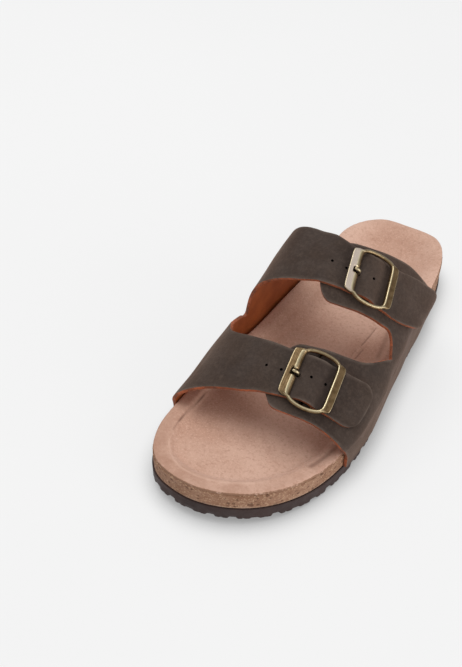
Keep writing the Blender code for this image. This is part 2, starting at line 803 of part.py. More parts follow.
for old in list(bpy.data.objects):
    bpy.data.objects.remove(old)
PARTS = bpy.data.collections.new("buckle_footbed_sandal")
CUTTERS = bpy.data.collections.new("cutters")
for made in (PARTS, CUTTERS):
    bpy.context.scene.collection.children.link(made)
ROOT = bpy.data.objects.new("sandal", None)
ROOT.location = Vector((-BOX_MIDDLE_ACROSS, BOX_MIDDLE_ALONG, 0)) * MM
PARTS.objects.link(ROOT)
MATERIALS = {name: finish_material(name) for name in FINISHES}

make_outsole()
make_midsole()
make_insole()
make_upper()
for buckle in BUCKLES:
    make_buckle(buckle)
    make_prong(buckle)
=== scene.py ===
"""Looks of the buckle footbed sandal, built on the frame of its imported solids.

Sizes, tables and curves that the part has too are the same here, apart from a narrower hole round each
prong, so each piece lies on the solid that it stands for. Sizes are in millimetres until a mesh is made.
Along runs from the back of the heel to the toe, which points to -Y. Across is positive towards the outer
side of the foot (+X), and the floor is z = 0.
"""

import math

import bmesh
import bpy
import numpy as np
from mathutils import Matrix, Vector


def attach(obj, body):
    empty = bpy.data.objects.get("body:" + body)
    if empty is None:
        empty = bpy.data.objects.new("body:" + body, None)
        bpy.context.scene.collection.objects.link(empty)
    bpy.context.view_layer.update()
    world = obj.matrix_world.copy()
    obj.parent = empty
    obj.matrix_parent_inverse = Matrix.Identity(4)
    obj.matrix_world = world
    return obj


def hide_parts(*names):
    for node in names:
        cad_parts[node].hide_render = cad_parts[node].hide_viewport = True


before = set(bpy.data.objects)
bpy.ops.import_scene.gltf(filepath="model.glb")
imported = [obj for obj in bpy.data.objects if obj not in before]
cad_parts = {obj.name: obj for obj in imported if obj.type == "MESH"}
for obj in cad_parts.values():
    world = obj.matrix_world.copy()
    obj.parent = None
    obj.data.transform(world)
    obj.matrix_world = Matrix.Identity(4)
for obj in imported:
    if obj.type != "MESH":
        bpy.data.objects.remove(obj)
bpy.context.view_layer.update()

MM = 0.001
GAP = 0.3
BOX_MIDDLE_ALONG = 139.45
BOX_MIDDLE_ACROSS = 3.12

# Sizes of the last and the sole, as in the part
LENGTH = 279.0
BALL_WIDTH = 101.2
INSTEP_HEIGHT = 92.5
TOE_SPRING = 6.6
SPRING_START = 0.71
OUTSOLE_PROUD = 0.9
OUTLINE = (
    # along, across
    (0.000, 0.000),
    (0.014, 0.235),
    (0.096, 0.360),
    (0.250, 0.422),
    (0.406, 0.457),
    (0.532, 0.496),
    (0.639, 0.530),
    (0.747, 0.522),
    (0.844, 0.457),
    (0.923, 0.326),
    (0.977, 0.140),
    (1.000, -0.079),
    (0.981, -0.306),
    (0.909, -0.434),
    (0.801, -0.470),
    (0.675, -0.470),
    (0.550, -0.401),
    (0.406, -0.364),
    (0.263, -0.362),
    (0.101, -0.375),
    (0.013, -0.226),
)
TOE_ROW = 11
OUTLINE_STEPS = 24
SOLE_SECTIONS = (
    # along, outsole top, rim top, rim width, sink of the bed, width of its slope
    (0.00, 7.4, 28.0, 4.0, 8.5, 20.0),
    (0.20, 7.4, 28.0, 4.5, 8.5, 20.0),
    (0.45, 8.0, 25.2, 6.0, 6.0, 16.0),
    (0.70, 8.8, 21.4, 7.0, 4.0, 7.0),
    (1.00, 8.8, 22.1, 8.0, 4.0, 6.0),
)
RIM_ROUND = 1.1
RIM_ROUND_WIDTH = 2.2
ARCH_SWELL = 4.0
ARCH_MIDDLE = 0.42
ARCH_SPREAD = 0.13
ARCH_REACH = 34.0
INSOLE_THICKNESS = 1.4
INSOLE_INSET = 0.5

# The suede's ragged edge, and the darker rim in front: width, width of the fade, start along the sole
EDGE_FUZZ = 0.6
RIM_DARKENING = (11.0, 5.0, 0.60)

# Creases and pressed lines of the footbed, as fractions of LENGTH and BALL_WIDTH; each also paints shade into
# the suede's colour, and a highlight where that number is negative
BED_CREASES = {
    # name: (depth, half width, painted shade, negative for painted highlight), places along and across
    "inner ball": ((0.7, 0.5, 0.8), ((0.735, -0.368), (0.788, -0.374), (0.840, -0.371), (0.880, -0.361))),
    "inner ball end": (
        (0.3, 0.4, 0.45),
        ((0.830, -0.372), (0.870, -0.365), (0.905, -0.348), (0.930, -0.320)),
    ),
    "toe line": (
        (-0.30, 0.8, -0.4),
        ((0.885, -0.360), (0.935, -0.300), (0.971, -0.172), (0.969, 0.004), (0.936, 0.180), (0.880, 0.345)),
    ),
    "outer ball": ((0.9, 1.9, 0.6), ((0.735, 0.475), (0.775, 0.446), (0.808, 0.422), (0.836, 0.388))),
    "waist": ((0.35, 0.6, 0.55), ((0.366, 0.233), (0.400, 0.233), (0.435, 0.227), (0.463, 0.220))),
    "second waist": ((0.35, 0.6, 0.55), ((0.452, 0.251), (0.480, 0.244), (0.504, 0.240))),
    "third waist": ((0.20, 0.7, 0.30), ((0.456, 0.210), (0.482, 0.211), (0.508, 0.213))),
    "outer waist": (
        (0.7, 2.4, 0.45),
        ((0.370, 0.324), (0.387, 0.332), (0.424, 0.344), (0.464, 0.361), (0.500, 0.374)),
    ),
    "arch": ((0.4, 1.5, 0.25), ((0.530, -0.270), (0.490, -0.258), (0.445, -0.240))),
    "arch fold": ((-0.5, 2.2, -0.2), ((0.435, -0.228), (0.390, -0.236), (0.345, -0.243))),
    "heel cup": (
        (0.20, 1.6, 0.12),
        (
            (0.215, 0.295), (0.142, 0.270), (0.083, 0.180), (0.060, 0.000),
            (0.083, -0.170), (0.142, -0.232), (0.200, -0.236),
        ),
    ),
}
CREASE_STEPS = 24
CREASE_FADE = 0.2

# Fineness of the sole's pieces
SOLE_COLUMNS = 640
BED_RINGS = (0.5, 0.7, 1.0, 1.4, 1.9, 2.5, 3.2, 4.0, 5.0, 6.0, 7.0, 8.0, 9.0, 10.0, 11.0, 12.0, 13.0, 14.0)
BED_RUNGS = 100
PLAIN_RUNGS = 12
TREAD_RUNGS = 48
LUG_STEPS = 20
CORK_RINGS = 7
POINTS_AT_ONCE = 2000

# Angles in degrees from which an edge is shaded sharp
SHARP = 40
LEATHER_SHARP = 35
BUCKLE_SHARP = 50
PRONG_SHARP = 60

# Edge, lugs and tread of the outsole
OUTSOLE_SHELF = 1.5
OUTSOLE_ROUND = 0.35
LUG_COUNT = 56
LUG_FLAT = 0.50
LUG_RAMP = 0.12
SMALL_NOTCH = (0.18, 0.34)
SMALL_NOTCH_DEPTH = 0.30
LUG_UNEVEN = 0.60
LUG_RHYTHM = 2.4
LUG_DEPTH = 1.0
LUG_INSET = 0.8
LUG_TOP = 3.2
LUG_TOP_RAMP = 0.6
LUG_TOP_INSET = 0.15
LUG_ROUND = 0.5
NOTCH_END = 1.5
NOTCH_END_SHARE = 0.6
TREAD_INSET = 7.0
TREAD_MARGIN = 1.0
TREAD_FADE = 1.5
TREAD_DEPTH = 1.2
TREAD_PITCH = 11.6
TREAD_LAND = 0.45
TREAD_WALL = 0.25
TREAD_WAVE = 3.0
TREAD_WAVE_LENGTH = 26.0

# Uneven side of the cork: its depth, radians for a column, and columns from ring to ring
CORK_ROUGH = 0.10
CORK_WAVES = (1.7, 0.61)
CORK_SHIFT = 13
CORK_TOP_DROP = 0.5
CORK_TOP_INSET = 0.6
GLUE_LINE = 0.5

# Sections and edges of the upper, as in the part
UPPER_SECTIONS = (
    # along, crest, crest across, inner wall top, outer wall top, inner fullness, inner flare, outer flare
    (0.190, 1.080, -0.040, 0.368, 0.497, 0.86, 1.8, 2.0),
    (0.335, 1.049, -0.049, 0.378, 0.519, 0.86, 1.8, 2.5),
    (0.442, 1.000, -0.049, 0.368, 0.508, 0.84, 1.8, 2.5),
    (0.514, 0.946, -0.030, 0.324, 0.476, 0.76, 1.8, 2.0),
    (0.571, 0.892, 0.000, 0.281, 0.432, 0.68, 1.8, 1.5),
    (0.621, 0.784, 0.030, 0.249, 0.378, 0.61, 1.3, 1.0),
    (0.693, 0.659, 0.049, 0.238, 0.314, 0.57, 0.5, 1.0),
    (0.765, 0.573, 0.079, 0.238, 0.303, 0.54, 0.3, 1.0),
    (0.836, 0.514, 0.079, 0.243, 0.292, 0.51, 0.0, 0.5),
)
OUTER_FULLNESS = 0.33
NORMAL_STEP = 0.01
LEATHER = 2.0
INNER_EDGES = (
    # turn, front strap front, front strap back, rear strap front, rear strap back
    (-1.00, 0.826, 0.618, 0.564, 0.231),
    (0.00, 0.829, 0.590, 0.564, 0.330),
    (0.13, 0.830, 0.580, 0.565, 0.370),
    (0.19, 0.830, 0.603, 0.565, 0.388),
    (0.25, 0.829, 0.623, 0.566, 0.402),
    (0.36, 0.823, 0.645, 0.568, 0.421),
    (0.44, 0.819, 0.666, 0.570, 0.428),
    (0.54, 0.813, 0.678, 0.572, 0.431),
    (0.68, 0.806, 0.685, 0.573, 0.434),
    (0.84, 0.798, 0.688, 0.570, 0.438),
    (1.00, 0.788, 0.690, 0.563, 0.443),
    (1.12, 0.781, 0.686, 0.557, 0.446),
    (1.30, 0.768, 0.676, 0.541, 0.442),
    (1.40, 0.763, 0.669, 0.531, 0.431),
    (1.50, 0.757, 0.661, 0.520, 0.411),
    (1.72, 0.744, 0.641, 0.494, 0.363),
    (1.90, 0.731, 0.628, 0.461, 0.332),
    (2.05, 0.722, 0.620, 0.436, 0.304),
)
OUTER_EDGES = (
    # turn, front tongue front, front tongue back, rear tongue front, rear tongue back
    (1.00, 0.808, 0.676, 0.580, 0.450),
    (1.16, 0.806, 0.666, 0.583, 0.436),
    (1.30, 0.798, 0.652, 0.571, 0.414),
    (1.44, 0.788, 0.638, 0.552, 0.386),
    (1.60, 0.781, 0.617, 0.533, 0.358),
    (1.72, 0.779, 0.590, 0.526, 0.346),
    (1.77, 0.778, 0.577, 0.537, 0.341),
    (1.82, 0.778, 0.565, 0.554, 0.336),
    (2.00, 0.772, 0.572, 0.542, 0.312),
    (2.50, 0.758, 0.575, 0.525, 0.263),
    (3.00, 0.754, 0.575, 0.517, 0.213),
)
# Turns where each quarter meets the sole, and where its two bands part
INNER_FOOT = -1.0
OUTER_FOOT = 3.0
INNER_NOTCH = 0.13
OUTER_NOTCH = 1.82
NOTCH_ROUND = 0.02
NOTCH_POWER = 4
STRAPS = {
    # name: tail end, tongue end, tail corner, tongue corner, girth of one turn, stand-off of the tail
    "front": (1.80, 0.95, 8.5, 11.0, 62.0, 0.0),
    "rear": (2.00, 1.04, 9.0, 12.0, 76.0, 3.0),
}
CLIMB = 0.16
LAYER_GAP = 0.35
TAIL_SINK = 0.5
SETTLE_START = 15.0
SETTLE_RUN = 6.0
STAND_RUN = 0.26

# Fineness of the upper and of its cut edges
BAND_COLUMNS = 30
QUARTER_ROWS = 44
STRAP_ROWS = 96
TONGUE_ROWS = 60
END_ROWS = 12
EDGE_ROUND = 0.35
EDGE_SEGMENTS = 2
EDGE_ANGLE = 50
WELD = 0.02
BANDS = {
    # name: columns of its two edges in the tables, and whether each edge is free below the notch
    "front": ((0, 1), (True, False)),
    "bridge": ((1, 2), (False, False)),
    "rear": ((2, 3), (False, True)),
}

# Worn edges and slow waves of the leather
WORN_WIDTH = 0.9
# Added to the distance from an edge that isn't free
NOT_FREE = 1e3
UNEVEN = 0.22
UNEVEN_WAVES = (
    # millimetres along for a radian, radians for a turn, radians at the start
    (9.0, 2.1, 0.0),
    (31.0, 5.3, 0.0),
    (5.1, -3.7, 1.3),
)
SMALL_WAVE = 0.6

# Holes of the straps, in turns and shares of the strap's width
HOLES = {
    "front": ((0.91, 0.54), (1.01, 0.54), (1.27, 0.56), (1.39, 0.58)),
    "rear": ((1.09, 0.46), (1.21, 0.46), (1.40, 0.49)),
}
HOLE_RADIUS = 0.85
HOLE_REACH = 3.2
HOLE_SIDES = 24
# Place of the hole's wall among the leather's materials; the wall is painted near black as the shade inside
# the hole
HOLE_MATERIAL = 3

# Soft troughs of the leather, where the straps bend, in turns and fractions of LENGTH
UPPER_CREASES = {
    # name: (depth, half width, painted shade), places in turn and along
    "rear strap bend": ((0.20, 1.8, 0.0), ((0.30, 0.555), (0.33, 0.500), (0.36, 0.440))),
    "rear strap second bend": ((0.15, 1.6, 0.0), ((0.42, 0.550), (0.44, 0.505), (0.45, 0.460))),
    "front strap bend": ((0.20, 1.6, 0.0), ((0.26, 0.810), (0.30, 0.750), (0.33, 0.690))),
    "outer wall fold": ((-0.35, 1.5, 0.0), ((2.00, 0.660), (2.04, 0.600), (2.06, 0.540), (2.03, 0.470))),
    "outer wall trough": ((0.35, 2.2, 0.0), ((2.25, 0.640), (2.30, 0.560), (2.28, 0.470))),
}
TURN_LENGTH = 70.0

# Buckles: two places on each strap, as in the part, set the middle and the direction of its frame
BUCKLES = {
    # name: inner place's turn, along, outer place's turn, along
    "front": (1.056, 0.732, 1.479, 0.708),
    "rear": (1.271, 0.499, 1.491, 0.473),
}
BAR_SPAN = 21.6
BAR_MIDDLE = 1.2
BAR_REACH = 14.6
SIDE_BOW = 2.4
SIDE_SAG = 0.4
# How far each flat bar reaches from the loop, outwards and into the opening
INNER_BAR = (5.6, 1.2)
OUTER_BAR = (3.8, 1.2)
BAR_THICKNESS = 2.4
SIDE_WIDTH = 2.3
CORNER_POWER = 9.0
BAR_END = 14.4
BAR_END_RUN = 0.9
BAR_STRETCH = 0.75
FRAME_SEAT = 1.8
FRAME_FINE = 1440
FRAME_POINTS = 240
FRAME_SIDES = 60
BAR_SECTION = (
    # share of the way round, out on the inner bar, out on the outer bar, up, wear and painted highlight, flat
    (0.00, 1.00, 1.00, -0.20, 0.1, 0.0),
    (0.05, 1.00, 1.00, 0.35, 0.6, 0.0),
    (0.07, 0.97, 0.97, 0.52, 0.4, 0.3),
    (0.10, 0.90, 0.90, 0.60, 0.0, 1.0),
    (0.32, 0.36, 0.05, 0.95, 0.0, 1.0),
    (0.345, 0.32, -0.10, 1.00, 0.6, 0.5),
    (0.37, 0.27, -0.30, 1.00, 1.0, 0.0),
    (0.40, 0.16, -0.50, 0.90, 0.3, 0.0),
    (0.43, -0.05, -0.68, 0.66, 0.0, 0.0),
    (0.46, -0.60, -0.88, 0.25, 0.0, 0.0),
    (0.50, -1.00, -1.00, -0.20, 0.0, 0.0),
    (0.56, -0.95, -0.95, -0.60, 0.0, 0.0),
    (0.62, -0.40, -0.40, -1.00, 0.0, 0.0),
    (0.92, 0.92, 0.92, -1.00, 0.0, 0.0),
    (1.00, 1.00, 1.00, -0.20, 0.1, 0.0),
)
# How much painted sky reflection lightens, and how much painted shade darkens, the inner bar's flat face on
# each buckle
SKY_REFLECTION_BARS = {"front": 0.0, "rear": 1.0}
PAINTED_SHADE_BARS = {"front": 0.5, "rear": 0.0}
# Painted highlight along the top of the rounded sides, to the toe and to the heel
SIDE_HIGHLIGHT = (0.65, 0.25)
SIDE_SHINE = 8
CENTRE_BAR_RADIUS = 0.65
CENTRE_BAR_LIFT = 0.95
CENTRE_BAR_FLAT = 15.3
CENTRE_BAR_DROP = 0.3
CENTRE_BAR_BEND = 0.75
HUMP_FLAT = 2.2
HUMP_RUN = 6.3
PRONG_RADIUS = 0.9
PRONG_REST = 0.9
PRONG_REST_WIDTH = 3.4
PRONG_REST_SOFT = 1.6
PRONG_REST_EDGE = 0.8
PRONG_REST_END = 3.2
PRONG_REST_RAMP = 0.5
PRONG_HOLE_AT = -7.9
# Narrower than in the part, so that the pale bed doesn't show round the prong
PRONG_HOLE_RADIUS = 1.45
PRONG_HEEL = 1.8
PRONG_TIP = -12.0
PRONG_TIP_DROP = 0.2
PRONG_RISE = (
    # from the hole, share of the way up from the lower run to the upper one, millimetres more
    (3.2, 0.0, 0.0),
    (1.2, 0.0, 0.1),
    (0.5, 0.0, 1.4),
    (0.0, 0.5, 0.0),
    (-0.4, 1.0, -1.2),
    (-1.3, 1.0, -0.3),
    (-2.6, 1.0, 0.0),
)
PRONG_STEPS = 60
PRONG_SIDES = 18
PRONG_POINT = 1.2
PRONG_TAPER = 0.8
PRONG_WEAR = 0.45
CENTRE_BAR_SIDES = 16
SLOT_START = -9.4
SLOT_END = 3.0
SLOT_HALF_WIDTH = 1.7
SLOT_DEPTH = 1.6
CUT_DEPTH = 6.0

# Tones of each material: its base colour, and spots of other colours on it, one over the other
TONES = {
    # spots: colour, size, detail and roughness of the noise, where it starts, where it is full, share
    "nubuck": (
        (46, 36, 31),
        ((58, 47, 40), 34, 4, 0.5, 0.35, 0.65, 1.0),
        ((94, 80, 70), 7, 5, 0.65, 0.58, 0.78, 0.3),
        ((78, 65, 57), 2.4, 5, 0.7, 0.42, 0.66, 0.35),
        ((38, 30, 26), 1.3, 4, 0.7, 0.45, 0.68, 0.5),
    ),
    "lining": (
        (150, 78, 38),
        ((178, 98, 52), 16, 4, 0.5, 0.3, 0.7, 1.0),
        ((120, 60, 30), 1.1, 3, 0.5, 0.55, 0.8, 0.4),
    ),
    "cut_edge": (
        (172, 94, 60),
        ((128, 74, 50), 9, 4, 0.5, 0.35, 0.65, 1.0),
        ((84, 54, 42), 1.4, 4, 0.5, 0.45, 0.7, 0.7),
    ),
    "painted_hole_shade": ((12, 9, 8), ((26, 20, 17), 0.6, 3, 0.5, 0.3, 0.7, 1.0)),
    "suede": (
        (186, 147, 127),
        ((206, 170, 151), 42, 4, 0.5, 0.3, 0.7, 1.0),
        ((168, 126, 105), 5, 5, 0.65, 0.5, 0.8, 0.45),
        ((160, 119, 100), 1.9, 5, 0.7, 0.48, 0.7, 0.5),
        ((220, 184, 165), 1.1, 4, 0.7, 0.48, 0.7, 0.5),
    ),
    "cork": ((144, 106, 82), ((162, 126, 104), 18, 3, 0.5, 0.3, 0.7, 1.0)),
    "rubber": (
        (50, 36, 34),
        ((63, 46, 43), 25, 4, 0.5, 0.3, 0.7, 1.0),
        ((46, 34, 32), 1.6, 4, 0.5, 0.55, 0.8, 0.4),
    ),
    "brass": ((140, 116, 84), ((106, 85, 58), 4, 4, 0.6, 0.35, 0.7, 1.0)),
    "floor_paint": ((118, 118, 118), ((120, 120, 120), 400, 2, 0.5, 0.3, 0.7, 1.0)),
}
# Grain of each material, as layers of bumps
GRAIN = {
    # size, detail and roughness of the noise, and its depth
    "nubuck": ((0.5, 3, 0.6, 0.06), (2.6, 4, 0.6, 0.14), (17, 3, 0.5, 0.35)),
    "lining": ((0.6, 3, 0.5, 0.04),),
    "cut_edge": ((0.4, 3, 0.5, 0.06),),
    "painted_hole_shade": ((0.4, 3, 0.5, 0.05),),
    "suede": ((0.6, 3, 0.6, 0.09), (3.5, 4, 0.6, 0.14)),
    "cork": ((0.8, 4, 0.5, 0.12),),
    "rubber": ((0.5, 3, 0.5, 0.05), (2.4, 3, 0.5, 0.08)),
    "brass": ((1.2, 3, 0.5, 0.03),),
}
# Size of the cork's grains and flecks, and depth of its pits
CORK_GRAIN = 1.5
CORK_FLECKS = 0.7
CORK_PITS = 0.12
# Brush strokes of the brass: how many there are in a metre along X, Y and Z
BRUSHED = (2600, 90, 2600)
BRUSH_DEPTH = 0.03
# Sockets of a Mix node that take and give colours
MIX_FIRST = 6
MIX_SECOND = 7
MIX_RESULT = 2

# Camera of the photo, in millimetres of the part's frame
CAMERA_PLACE = (141.68, -337.25, 370.2)
CAMERA_FORWARD = (-0.387, 0.616, -0.686)
CAMERA_ROLL = -0.0086
CAMERA_LENS = 42.71
CAMERA_SENSOR = 36.0
CAMERA_CLIP = 100.0

# Light that the floor gives off itself, out in the open and where something stands close over it, which is
# lower there as a painted contact shadow, and how close that is in millimetres
FLOOR_GLOW = 0.70
CONTACT_GLOW = 0.26
CONTACT_REACH = 15.0
CONTACT_OPENNESS = 0.25

# Floor and studio light, in metres
FLOOR_HALF = 6.0
SKY_STRENGTH = 0.48
LIGHTS = {
    # name: place, target, size, watts
    "key": ((-0.5, 0.1, 1.5), (0, 0, 0), 1.3, 16),
    "fill": ((1.4, -0.2, 0.45), (0, 0, 0.03), 1.0, 10),
}


def rows_at(rows, where):
    """The columns of a table at these places, each on a smooth curve through its rows."""
    rows = np.array(rows)
    knots = rows[:, 0]
    slopes = np.gradient(rows[:, 1:], knots, axis=0)
    where = np.clip(np.asarray(where, float), knots[0], knots[-1])
    left = np.clip(np.searchsorted(knots, where, side="right") - 1, 0, len(knots) - 2)
    span = (knots[left + 1] - knots[left])[..., None]
    t = (where - knots[left])[..., None] / span
    start = rows[left, 1:]
    end = rows[left + 1, 1:]
    cubic = (2 * t**3 - 3 * t**2 + 1) * start + (3 * t**2 - 2 * t**3) * end
    cubic += span * ((t**3 - 2 * t**2 + t) * slopes[left] + (t**3 - t**2) * slopes[left + 1])
    return np.moveaxis(cubic, -1, 0)


def ease(t):
    t = np.clip(t, 0.0, 1.0)
    return t * t * (3 - 2 * t)


# The sole's outline and heights

def closed_curve(points, steps):
    """A closed Catmull-Rom curve: steps points from each point to the next."""
    points = np.array(points)
    t = np.linspace(0, 1, steps, endpoint=False)[:, None]
    before = np.roll(points, 1, axis=0)
    after = np.roll(points, -1, axis=0)
    beyond = np.roll(points, -2, axis=0)
    pieces = []
    for p0, p1, p2, p3 in zip(before, points, after, beyond):
        bend = (2 * p0 - 5 * p1 + 4 * p2 - p3) * t**2 + (3 * p1 - p0 - 3 * p2 + p3) * t**3
        pieces.append(p1 + ((p2 - p0) * t + bend) / 2)
    return np.concatenate(pieces)


OUTLINE_CURVE = closed_curve(OUTLINE, OUTLINE_STEPS) * (LENGTH, BALL_WIDTH)


def spaced(curve, shares):
    """Points of an open curve at these shares of its length."""
    reach = np.concatenate([[0], np.cumsum(np.linalg.norm(np.diff(curve, axis=0), axis=1))])
    where = np.array(shares) * reach[-1]
    return np.stack([np.interp(where, reach, curve[:, 0]), np.interp(where, reach, curve[:, 1])], axis=1)


def outline_points(shares):
    """The outline at these shares of each half: outer side to the toe, inner side back."""
    toe = TOE_ROW * OUTLINE_STEPS
    outer = spaced(OUTLINE_CURVE[: toe + 1], shares)
    inner = spaced(np.concatenate([OUTLINE_CURVE[toe:], OUTLINE_CURVE[:1]]), shares)
    return np.concatenate([outer, inner])


def even_outline(columns):
    return outline_points(np.arange(columns // 2) * 2 / columns)


def outward(points):
    run = np.roll(points, -1, axis=0) - np.roll(points, 1, axis=0)
    normal = np.stack([-run[:, 1], run[:, 0]], axis=1)
    return normal / np.linalg.norm(normal, axis=1)[:, None]


def side_at(along, side):
    half = OUTLINE_CURVE[OUTLINE_CURVE[:, 1] * side > 0]
    half = half[np.argsort(half[:, 0])]
    return np.interp(along, half[:, 0], half[:, 1])


def spring(along):
    rise = np.maximum(0.0, (along / LENGTH - SPRING_START) / (1 - SPRING_START))
    return TOE_SPRING * rise**2


def outsole_top(along):
    return rows_at(SOLE_SECTIONS, along / LENGTH)[0] + spring(along)


def inset_at(along, across):
    """Distance of each point to the outline."""
    found = []
    points = np.stack([along, across], axis=1)
    for part in np.array_split(points, max(1, len(points) // POINTS_AT_ONCE)):
        away = np.hypot(part[:, :1] - OUTLINE_CURVE[:, 0], part[:, 1:] - OUTLINE_CURVE[:, 1])
        found.append(away.min(axis=1))
    return np.maximum(np.concatenate(found), INSOLE_INSET)


def footbed_top(along, across):
    """Height of the suede: rim, slope, bed and the swell of the arch."""
    _, rim, rim_width, sink, slope = rows_at(SOLE_SECTIONS, along / LENGTH)
    inset = inset_at(along, across)
    height = rim + spring(along)
    height = height - RIM_ROUND * np.maximum(0.0, 1 - inset / RIM_ROUND_WIDTH) ** 2
    height = height - sink * ease((inset - rim_width) / slope)
    place = (along / LENGTH - ARCH_MIDDLE) / ARCH_SPREAD
    swell = ARCH_SWELL * np.exp(-(place**2)) * (1 - ease(inset / ARCH_REACH))
    return height + np.where(across < 0, swell, 0.0)


# Creases

def near_line(points, line):
    """Distance of each point to a line of many stretches, and the line's share where it is nearest."""
    nearest = np.full(points.shape[:-1], np.inf)
    share = np.zeros(points.shape[:-1])
    stretches = len(line) - 1
    for k in range(stretches):
        run = line[k + 1] - line[k]
        t = np.clip((points - line[k]) @ run / (run @ run), 0, 1)
        away = np.linalg.norm(points - line[k] - t[..., None] * run, axis=-1)
        share = np.where(away < nearest, (k + t) / stretches, share)
        nearest = np.minimum(away, nearest)
    return nearest, share


def creased(creases, points, scale):
    """How deep the creases sink the surface at these points, and how much painted shade they put on it,
    negative for painted highlight.
    """
    sink = np.zeros(points.shape[:-1])
    shade = np.zeros(points.shape[:-1])
    for (depth, half_width, painted_shading), places in creases.values():
        knots = np.column_stack([np.arange(len(places)), np.array(places) * scale])
        line = rows_at(knots, np.linspace(0, len(places) - 1, CREASE_STEPS)).T
        away, share = near_line(points, line)
        mark = np.exp(-((away / half_width) ** 2)) * ease(np.minimum(share, 1 - share) / CREASE_FADE)
        sink += depth * mark
        shade += painted_shading * mark
    return sink, shade


def bed_creases(along, across):
    return creased(BED_CREASES, np.stack([along, across], axis=-1), (LENGTH, BALL_WIDTH))


def bed_surface(along, across):
    return footbed_top(along, across) - bed_creases(along, across)[0]


def upper_creases(along, turn):
    along, turn = np.broadcast_arrays(along, turn)
    points = np.stack([turn * TURN_LENGTH, along], axis=-1)
    return creased(UPPER_CREASES, points, (TURN_LENGTH, LENGTH))[0]


# The upper's outer face

def bezier(start, start_handle, end_handle, end, t):
    near = start * (1 - t) ** 3 + 3 * start_handle * (1 - t) ** 2 * t
    return near + 3 * end_handle * (1 - t) * t**2 + end * t**3


def over_foot(turn, inner_foot, inner_curve, outer_curve, outer_foot):
    """A value over the turns: straight up the inner wall, two curves, straight down the outer wall."""
    inner_wall = inner_curve[0] + (inner_curve[0] - inner_foot) * turn
    outer_wall = outer_curve[-1] + (outer_foot - outer_curve[-1]) * (turn - 2)
    first = bezier(*inner_curve, np.clip(turn, 0, 1))
    second = bezier(*outer_curve, np.clip(turn - 1, 0, 1))
    return np.select([turn < 0, turn <= 1, turn <= 2], [inner_wall, first, second], outer_wall)


def upper_face(along, turn):
    """Points of the upper's outer face: (across, -along, height)."""
    section = rows_at(UPPER_SECTIONS, along / LENGTH)
    crest, middle, inner_top, outer_top, fullness, inner_flare, outer_flare = section
    crest = crest * INSTEP_HEIGHT
    inner_top = inner_top * INSTEP_HEIGHT
    outer_top = outer_top * INSTEP_HEIGHT
    middle = middle * BALL_WIDTH
    foot = outsole_top(along) + GAP
    inner = side_at(along, -1) - GAP - LEATHER
    outer = side_at(along, 1) + GAP + LEATHER
    inner_shoulder = inner - inner_flare
    shoulder = outer + outer_flare
    inner_handle = middle - fullness * (middle - inner_shoulder)
    outer_handle = middle + OUTER_FULLNESS * (shoulder - middle)
    inner_lift = inner_top + fullness * (crest - inner_top)
    outer_lift = outer_top + OUTER_FULLNESS * (crest - outer_top)
    inner_curve = (inner_shoulder, inner_shoulder, inner_handle, middle)
    outer_curve = (middle, outer_handle, shoulder, shoulder)
    across = over_foot(turn, inner, inner_curve, outer_curve, outer)
    inner_curve = (inner_top, inner_lift, crest, crest)
    outer_curve = (crest, crest, outer_lift, outer_top)
    height = over_foot(turn, foot, inner_curve, outer_curve, foot)
    return np.stack([across, -along, height], axis=-1)


def upper_normal(along, turn):
    over = upper_face(along, turn + NORMAL_STEP) - upper_face(along, turn - NORMAL_STEP)
    forward = upper_face(along + 1, turn) - upper_face(along - 1, turn)
    normal = np.cross(forward, over)
    return normal / np.linalg.norm(normal, axis=-1, keepdims=True)


def lifted(along, turn, lift):
    along = np.asarray(along, float)
    turn = np.asarray(turn, float)
    return upper_face(along, turn) + upper_normal(along, turn) * np.asarray(lift)[..., None]


def buckle_middle(name):
    """Along and turn of the middle between a buckle's two places."""
    inner_turn, inner_along, outer_turn, outer_along = BUCKLES[name]
    return np.array((inner_along + outer_along) / 2 * LENGTH), np.array((inner_turn + outer_turn) / 2)


def buckle_frame(name):
    """Matrix of a buckle: X along the strap to the outer side, Y to the heel, Z off the strap."""
    inner_turn, inner_along, outer_turn, outer_along = BUCKLES[name]
    lift = LEATHER + LAYER_GAP
    inner = Vector(lifted(inner_along * LENGTH, inner_turn, lift))
    outer = Vector(lifted(outer_along * LENGTH, outer_turn, lift))
    over = (outer - inner).normalized()
    off = Vector(upper_normal(*buckle_middle(name)))
    off = (off - over * off.dot(over)).normalized()
    toward_heel = off.cross(over)
    place = (inner + outer) / 2 + off * (FRAME_SEAT + BAR_THICKNESS / 2)
    turned = Matrix((over, toward_heel, off)).transposed().to_4x4()
    return Matrix.Translation(place) @ turned


BUCKLE_FRAMES = {name: buckle_frame(name) for name in BUCKLES}


def in_buckle(name, points):
    """Points in a buckle's own frame, in millimetres."""
    back = np.array(BUCKLE_FRAMES[name].inverted())
    return np.asarray(points) @ back[:3, :3].T + back[:3, 3]


def strap_lift(name, along, turn):
    """How far the strap's face stands off the tongue's: over its end, the hidden bar and the quarter."""
    tail_end, tongue_end, _, _, _, stand_off = STRAPS[name]
    past_bar = in_buckle(name, upper_face(along, turn))[..., 0]
    over_tongue = LEATHER + LAYER_GAP
    over_bar = LEATHER + CENTRE_BAR_LIFT + 2 * CENTRE_BAR_RADIUS + GAP
    lift = over_tongue * ease((turn - tongue_end + CLIMB) / CLIMB)
    lift = lift + (over_bar - over_tongue) * (1 - ease((np.abs(past_bar) - HUMP_FLAT) / HUMP_RUN))
    lift = lift - (LAYER_GAP + TAIL_SINK) * ease((past_bar - SETTLE_START) / SETTLE_RUN)
    return lift + stand_off * ease((turn - tail_end + STAND_RUN) / STAND_RUN)


def uneven(along, turn):
    """Slow waves in the leather, as it has no stiffener behind it."""
    slow, cross, small = (np.sin(along / run + turn * twist + start) for run, twist, start in UNEVEN_WAVES)
    return UNEVEN * (slow * cross + SMALL_WAVE * small)


# Building meshes

